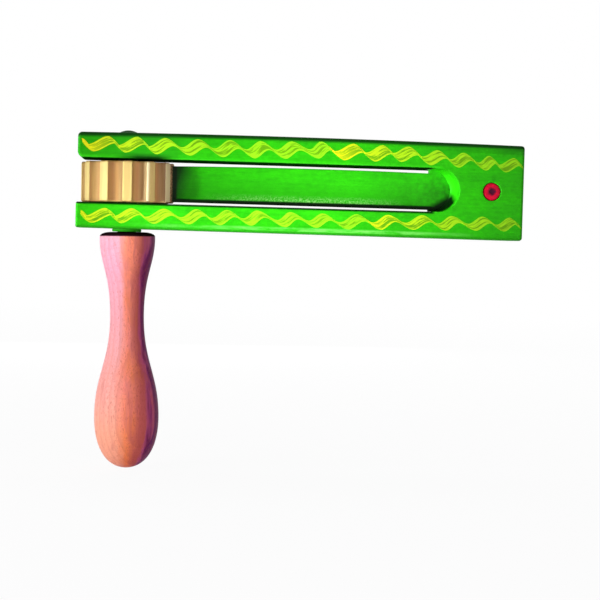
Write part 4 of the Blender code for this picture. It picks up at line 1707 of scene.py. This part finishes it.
# %% Axle
axle_low, axle_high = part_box("axle")
AXLE_DOME = 0.0011
DOME_STEPS = 12
AXLE_CHAMFER = 0.0005
PIN_IN_AXLE = (0.0072, 0.0045)  # length of the brad's hole and where its middle lies
dome_radius = (AXLE_RADIUS**2 + AXLE_DOME**2) / (2 * AXLE_DOME)
dome_angle = math.asin(AXLE_RADIUS / dome_radius)
profile = []
for step in range(DOME_STEPS + 1):
    angle = dome_angle * step / DOME_STEPS
    profile.append((dome_radius * math.sin(angle), axle_high.z - dome_radius * (1 - math.cos(angle))))
profile += [(AXLE_RADIUS, axle_low.z + AXLE_CHAMFER), (AXLE_RADIUS - AXLE_CHAMFER, axle_low.z)]
profile.append((0.0, axle_low.z))
domed_axle = turned("domed_axle", profile, 64)
carve(domed_axle, drilled(PIN_HOLE, PIN_IN_AXLE[0], 0.0, along_pin(PIN_IN_AXLE[1]), pin_turn))
smooth_sides(domed_axle)
coat_with(domed_axle, axle_lacquer)
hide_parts("axle")
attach(domed_axle, "handle")
print(f"axle stands {1000 * (axle_high.z - block_high.z):.1f} mm proud of the frame")

# %% [markdown]
# A thin collar keeps the frame off the handle. It touches the frame, which carries it round, and runs on
# the handle's shoulder with a hair's breadth between them.

# %% Collar
RUNNING_GAP = 0.00012
COLLAR_EASE = 0.00035
collar_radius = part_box("spacer_washer")[1].x
collar_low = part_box("handle")[1].z + RUNNING_GAP
collar_high = block_low.z
profile = [(AXLE_BORE, collar_high), (collar_radius, collar_high)]
for angle in quarter(6):
    spot = collar_radius - COLLAR_EASE * (1 - math.cos(angle))
    profile.append((spot, collar_low + COLLAR_EASE * (1 - math.sin(angle))))
profile += [(AXLE_BORE, collar_low), (AXLE_BORE, collar_high)]
green_collar = turned("green_collar", profile, 64)
smooth_sides(green_collar)
coat_with(green_collar, collar_lacquer)
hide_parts("spacer_washer")
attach(green_collar, "frame")
print(f"collar {2000 * collar_radius:.1f} mm across, {1000 * (collar_high - collar_low):.1f} mm high")

# %% [markdown]
# The peg holds the tongue's tail. It shows on both faces as a red dot, slightly crowned, with a dark dimple
# where it was held while turning. The dimple is real in the profile, and the dark paint in it has a ragged
# edge from noise.

# %% Red peg
RED_DEEP = (0.54, 0.003, 0.020)
RED_BRIGHT = (0.78, 0.006, 0.038)
DIMPLE_DARK = (0.060, 0.002, 0.020)
DIMPLE_RADIUS = 0.0013
DIMPLE_DEPTH = 0.0003
DIMPLE_PAINT = (0.0022, 0.0011)
RAGGED = 0.0003
PEG_CROWN = 0.0002
CROWN_SHARES = (0.0, 0.15, 0.35, 0.55, 0.75, 0.9, 1.0)
PEG_EASE = 0.0004
PEG_CLOUDS = (900.0, 900.0, 900.0)


def peg_end():
    """Half of the peg's profile, from the middle of its end to its shank."""
    end = peg_high.y
    profile = [(0.0, end - DIMPLE_DEPTH)]
    profile += [(0.0004, end - DIMPLE_DEPTH * 0.92), (0.0009, end - DIMPLE_DEPTH * 0.5)]
    for share in CROWN_SHARES:
        radius = DIMPLE_RADIUS + (PEG_RADIUS - PEG_EASE - DIMPLE_RADIUS) * share
        profile.append((radius, end - PEG_CROWN * share**2))
    profile += [(PEG_RADIUS - PEG_EASE / 4, end - PEG_EASE), (PEG_RADIUS, end - 2 * PEG_EASE)]
    return profile


def peg_paint():
    """Red paint with a dark spot in the dimple."""
    material, tree, shader, place = new_finish("red_peg_paint")
    clouds = speckle(tree, place, PEG_CLOUDS, 4.0)
    radius = face_distance(tree, place, PEG_X, slot_middle)
    ragged = sums(tree, "ADD", radius, between(tree, clouds, 0.3, 0.7, -RAGGED, RAGGED))
    red = ramp(tree, clouds, (0.32, RED_DEEP), (0.66, RED_BRIGHT))
    colour = blend_colour(tree, between(tree, ragged, *DIMPLE_PAINT), red, DIMPLE_DARK)
    tree.links.new(colour, shader.inputs["Base Color"])
    tree.links.new(between(tree, clouds, 0.3, 0.7, 0.38, 0.55), shader.inputs["Roughness"])
    shader.inputs["Specular IOR Level"].default_value = 0.12
    relief(tree, shader, clouds, 0.0001)
    return material


front = peg_end()
red_peg = turned("red_peg", front + [(radius, -y) for radius, y in reversed(front)], 64)
red_peg.data.transform(Matrix.Translation(peg_place) @ SIDEWAYS)
smooth_sides(red_peg, 50)
coat_with(red_peg, peg_paint())
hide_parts("tongue_peg")
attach(red_peg, "frame")
print(f"peg {2000 * PEG_RADIUS:.1f} mm across")

# %% [markdown]
# ## The handle
#
# The handle is turned from a close-grained reddish wood and left bare. Its profile goes from a rounded
# shoulder over a rim into a narrow neck, and swells to a bulb that fills the palm. Two Bezier stretches and
# a round end draw it, as a turner would with two long cuts. The axle's play lets it hang a little out of
# square with the frame, so the bore that takes the axle is drawn wide.

# %% Turn the handle
grip_low, grip_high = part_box("handle")
BORE_DEPTH = 0.0303
LOOSE_BORE = 0.0050
SHOULDER = 0.0064
SHOULDER_SHARES = (0.0, 0.15, 0.3, 0.45, 0.6, 0.75, 0.87, 0.95, 0.99)
SHOULDER_CURVE = 2.4
RIM = (0.0118, grip_high.z - 0.0020)
RIM_WIDTH = 0.0003
NECK = (0.00719, grip_high.z - 0.0360)
BULB = (0.01376, grip_high.z - 0.0792)
RIM_PULL = 0.0114
NECK_PULLS = (0.0184, -0.0198)
BULB_PULL = 0.0181
FULLNESS = 0.615
HANG = math.radians(-0.93)


def stretch(start, start_pull, end_pull, end, count=28):
    """A smooth stretch of a profile between two points, without its first."""
    knots = [Vector((radius, height, 0.0)) for radius, height in (start, start_pull, end_pull, end)]
    return [(p.x, p.y) for p in interpolate_bezier(*knots, count)[1:]]


profile = [(0.0, grip_high.z - BORE_DEPTH), (LOOSE_BORE, grip_high.z - BORE_DEPTH), (LOOSE_BORE, grip_high.z)]
for share in SHOULDER_SHARES:
    fall = (grip_high.z - RIM[1]) * (1 - math.sqrt(1 - share**SHOULDER_CURVE))
    profile.append((SHOULDER + (RIM[0] - SHOULDER) * share, grip_high.z - fall))
rim_end = (RIM[0], RIM[1] - RIM_WIDTH)
round_rise = (BULB[1] - grip_low.z) * FULLNESS
profile.append(rim_end)
above_neck, below_neck = [(NECK[0], NECK[1] + pull) for pull in NECK_PULLS]
profile += stretch(rim_end, (RIM[0], rim_end[1] - RIM_PULL), above_neck, NECK)
profile += stretch(NECK, below_neck, (BULB[0], BULB[1] + BULB_PULL), BULB)
profile += stretch(BULB, (BULB[0], BULB[1] - round_rise), (BULB[0] * FULLNESS, grip_low.z), (0.0, grip_low.z))
turned_handle = turned("turned_handle", profile, 128)
turned_handle.data.transform(hung(HANG))
smooth_sides(turned_handle, 40)
print("handle of", len(turned_handle.data.polygons), "faces")

# %% [markdown]
# One side of the handle is painted paler as a highlight, lilac above and peach below, and the other goes
# over red-brown and violet into a line of near-black painted shade, darkest where the surface turns under.
# Which side a point faces decides between them, with streaks of noise so that the change runs along the
# grain. The wood also shows short dark flecks, faint growth lines where the bulb cuts through the rings,
# and very fine rings from the turning tool.

# %% Marks of the reddish wood and its painted highlight and shade
WOOD_STREAKS = (330.0, 330.0, 14.0)
WOOD_CLOUDS = (90.0, 90.0, 60.0)
WOOD_FLECKS = (2300.0, 2300.0, 620.0)
WOOD_PORES = (5200.0, 5200.0, 1500.0)
TOOL_RINGS = (25.0, 25.0, 900.0)
# Painted light on the handle: the lilac and peach are a painted highlight, the red-brown, violet and
# near-black painted shade.
LILAC_HIGHLIGHT = (0.76, 0.42, 0.54)
PEACH_HIGHLIGHT = (0.88, 0.46, 0.29)
RED_SHADE = (0.58, 0.13, 0.125)
VIOLET_SHADE = (0.60, 0.13, 0.36)
DEEP_SHADE = (0.13, 0.006, 0.11)
PEACH_TO_LILAC = (0.015, 0.085)  # from the handle's lower end
SHADE_BELOW = (0.050, 0.020)
YEAR_TILT = (0.06, 0.0, -0.55)


def wood_marks(tree, place, streaks, flecks):
    """Flecks, pores, tool rings, streaks and growth lines in one mask."""
    pores = speckle(tree, place, WOOD_PORES, 2.0)
    rings = speckle(tree, place, TOOL_RINGS, 2.0)
    spots = either(
        tree,
        between(tree, flecks, 0.54, 0.68, 0.0, 0.55),
        between(tree, pores, 0.52, 0.68, 0.0, 0.35),
    )
    lines = either(
        tree,
        between(tree, rings, 0.58, 0.74, 0.0, 0.2),
        between(tree, streaks, 0.54, 0.68, 0.0, 0.4),
    )
    tilted = grow(tree, "ShaderNodeMapping", {"Vector": place, "Rotation": YEAR_TILT}).outputs[0]
    yearly = {"Vector": tilted, "Scale": 115.0, "Distortion": 2.4, "Detail": 1.0, "Detail Scale": 0.6}
    wave = grow(tree, "ShaderNodeTexWave", yearly, wave_type="BANDS", bands_direction="Y", wave_profile="SAW")
    return either(tree, spots, lines, between(tree, wave.outputs["Fac"], 0.40, 1.0, 0.0, 0.30))


def painted_light_sides(tree, wood, streaks, height, facing):
    """Painted light on the wood: a painted highlight on the side that faces -X, over the middle into painted
    shade on the side that faces +X and down.
    """
    right, _, up = split(tree, facing)
    turned_under = product(tree, right, between(tree, up, -0.05, -0.9, 1.0, 1.75))
    wavy = sums(tree, "ADD", turned_under, between(tree, streaks, 0.3, 0.7, -0.16, 0.16))
    upper = between(tree, height, *from_edge(grip_low.z, PEACH_TO_LILAC))
    lower = between(tree, height, *from_edge(grip_low.z, SHADE_BELOW), 0.0, 0.18)
    red_shade_share = between(tree, sums(tree, "ADD", wavy, lower), 0.25, 0.62, 0.0, 0.8)
    highlight_colour = blend_colour(tree, upper, PEACH_HIGHLIGHT, LILAC_HIGHLIGHT)
    colour = blend_colour(tree, between(tree, wavy, 0.0, -0.4, 0.0, 0.8), wood, highlight_colour)
    colour = blend_colour(tree, red_shade_share, colour, RED_SHADE)
    colour = blend_colour(tree, between(tree, wavy, 0.60, 0.80, 0.0, 0.85), colour, VIOLET_SHADE)
    return blend_colour(tree, between(tree, wavy, 0.72, 0.88, 0.0, 0.95), colour, DEEP_SHADE)


print("marks and sides of the wood ready")

# %% [markdown]
# The finish puts these together, from orange to pink by noise and more orange low on the bulb. Bare wood
# that many hands have held has a faint sheen, here a little violet. The shoulder under the collar is end
# grain painted near-black as shade, and its faces get a matte finish of their own.

# %% Reddish wood
WOOD_PINK = (0.95, 0.335, 0.25)
WOOD_ORANGE = (0.95, 0.305, 0.105)
WOOD_FLECK = (0.46, 0.115, 0.070)
# The shoulder's end grain, made near-black as painted shade:
END_GRAIN_SHADE = (0.010, 0.004, 0.006)
END_GRAIN_SHADE_PALE = (0.024, 0.009, 0.010)
WOOD_SHEEN = (0.62, 0.36, 1.0, 1.0)
WARMER_BELOW = (0.035, 0.0)  # from the handle's lower end
SHOULDER_DEPTH = 0.004
SHOULDER_FADE = (-0.004, -0.003)  # from the handle's upper end


def reddish_wood():
    """Bare reddish wood, with a painted highlight on one side and painted shade on the other."""
    material, tree, shader, place = new_finish("reddish_wood")
    streaks = speckle(tree, place, WOOD_STREAKS, 5.0)
    clouds = speckle(tree, place, WOOD_CLOUDS, 3.0)
    flecks = speckle(tree, place, WOOD_FLECKS, 2.0)
    height = split(tree, place)[2]
    facing = source_of(tree)[1]
    tone = weighted(tree, (streaks, 0.5), (clouds, 0.5))
    low_end = between(tree, height, *from_edge(grip_low.z, WARMER_BELOW), 0.0, 0.2)
    warmer = sums(tree, "SUBTRACT", tone, low_end)
    wood = ramp(tree, warmer, (0.36, WOOD_ORANGE), (0.62, WOOD_PINK))
    # Painted highlight on one side, painted shade on the other.
    colour = painted_light_sides(tree, wood, streaks, height, facing)
    colour = blend_colour(tree, wood_marks(tree, place, streaks, flecks), colour, WOOD_FLECK)
    # Painted shade: the shoulder that faces up turns near-black.
    at_top = between(tree, height, *from_edge(grip_high.z, SHOULDER_FADE))
    shoulder = product(tree, between(tree, split(tree, facing)[2], 0.12, 0.45), at_top)
    tree.links.new(blend_colour(tree, shoulder, colour, END_GRAIN_SHADE), shader.inputs["Base Color"])
    tree.links.new(between(tree, streaks, 0.3, 0.7, 0.36, 0.48), shader.inputs["Roughness"])
    shader.inputs["Specular IOR Level"].default_value = 0.04
    shader.inputs["Sheen Weight"].default_value = 0.06
    shader.inputs["Sheen Roughness"].default_value = 0.35
    shader.inputs["Sheen Tint"].default_value = WOOD_SHEEN
    lathe = {"Vector": place, "Scale": 620.0, "Distortion": 0.6, "Detail": 1.0}
    tool_marks = grow(tree, "ShaderNodeTexWave", lathe, wave_type="BANDS", bands_direction="Z").outputs["Fac"]
    relief(tree, shader, weighted(tree, (flecks, 0.5), (tool_marks, 0.15)), 0.0001)
    return material


def on_shoulder(face):
    """True for the faces round the bore that look up."""
    return face.normal.z > 0.3 and face.center.z > grip_high.z - SHOULDER_DEPTH


coat_with(turned_handle, reddish_wood())
# The shoulder's faces get a matte near-black finish: end grain and painted shade.
give_faces(turned_handle, matte_coat("end_grain_shade", END_GRAIN_SHADE, END_GRAIN_SHADE_PALE), on_shoulder)
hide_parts("handle")
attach(turned_handle, "handle")
print("handle is bare reddish wood")
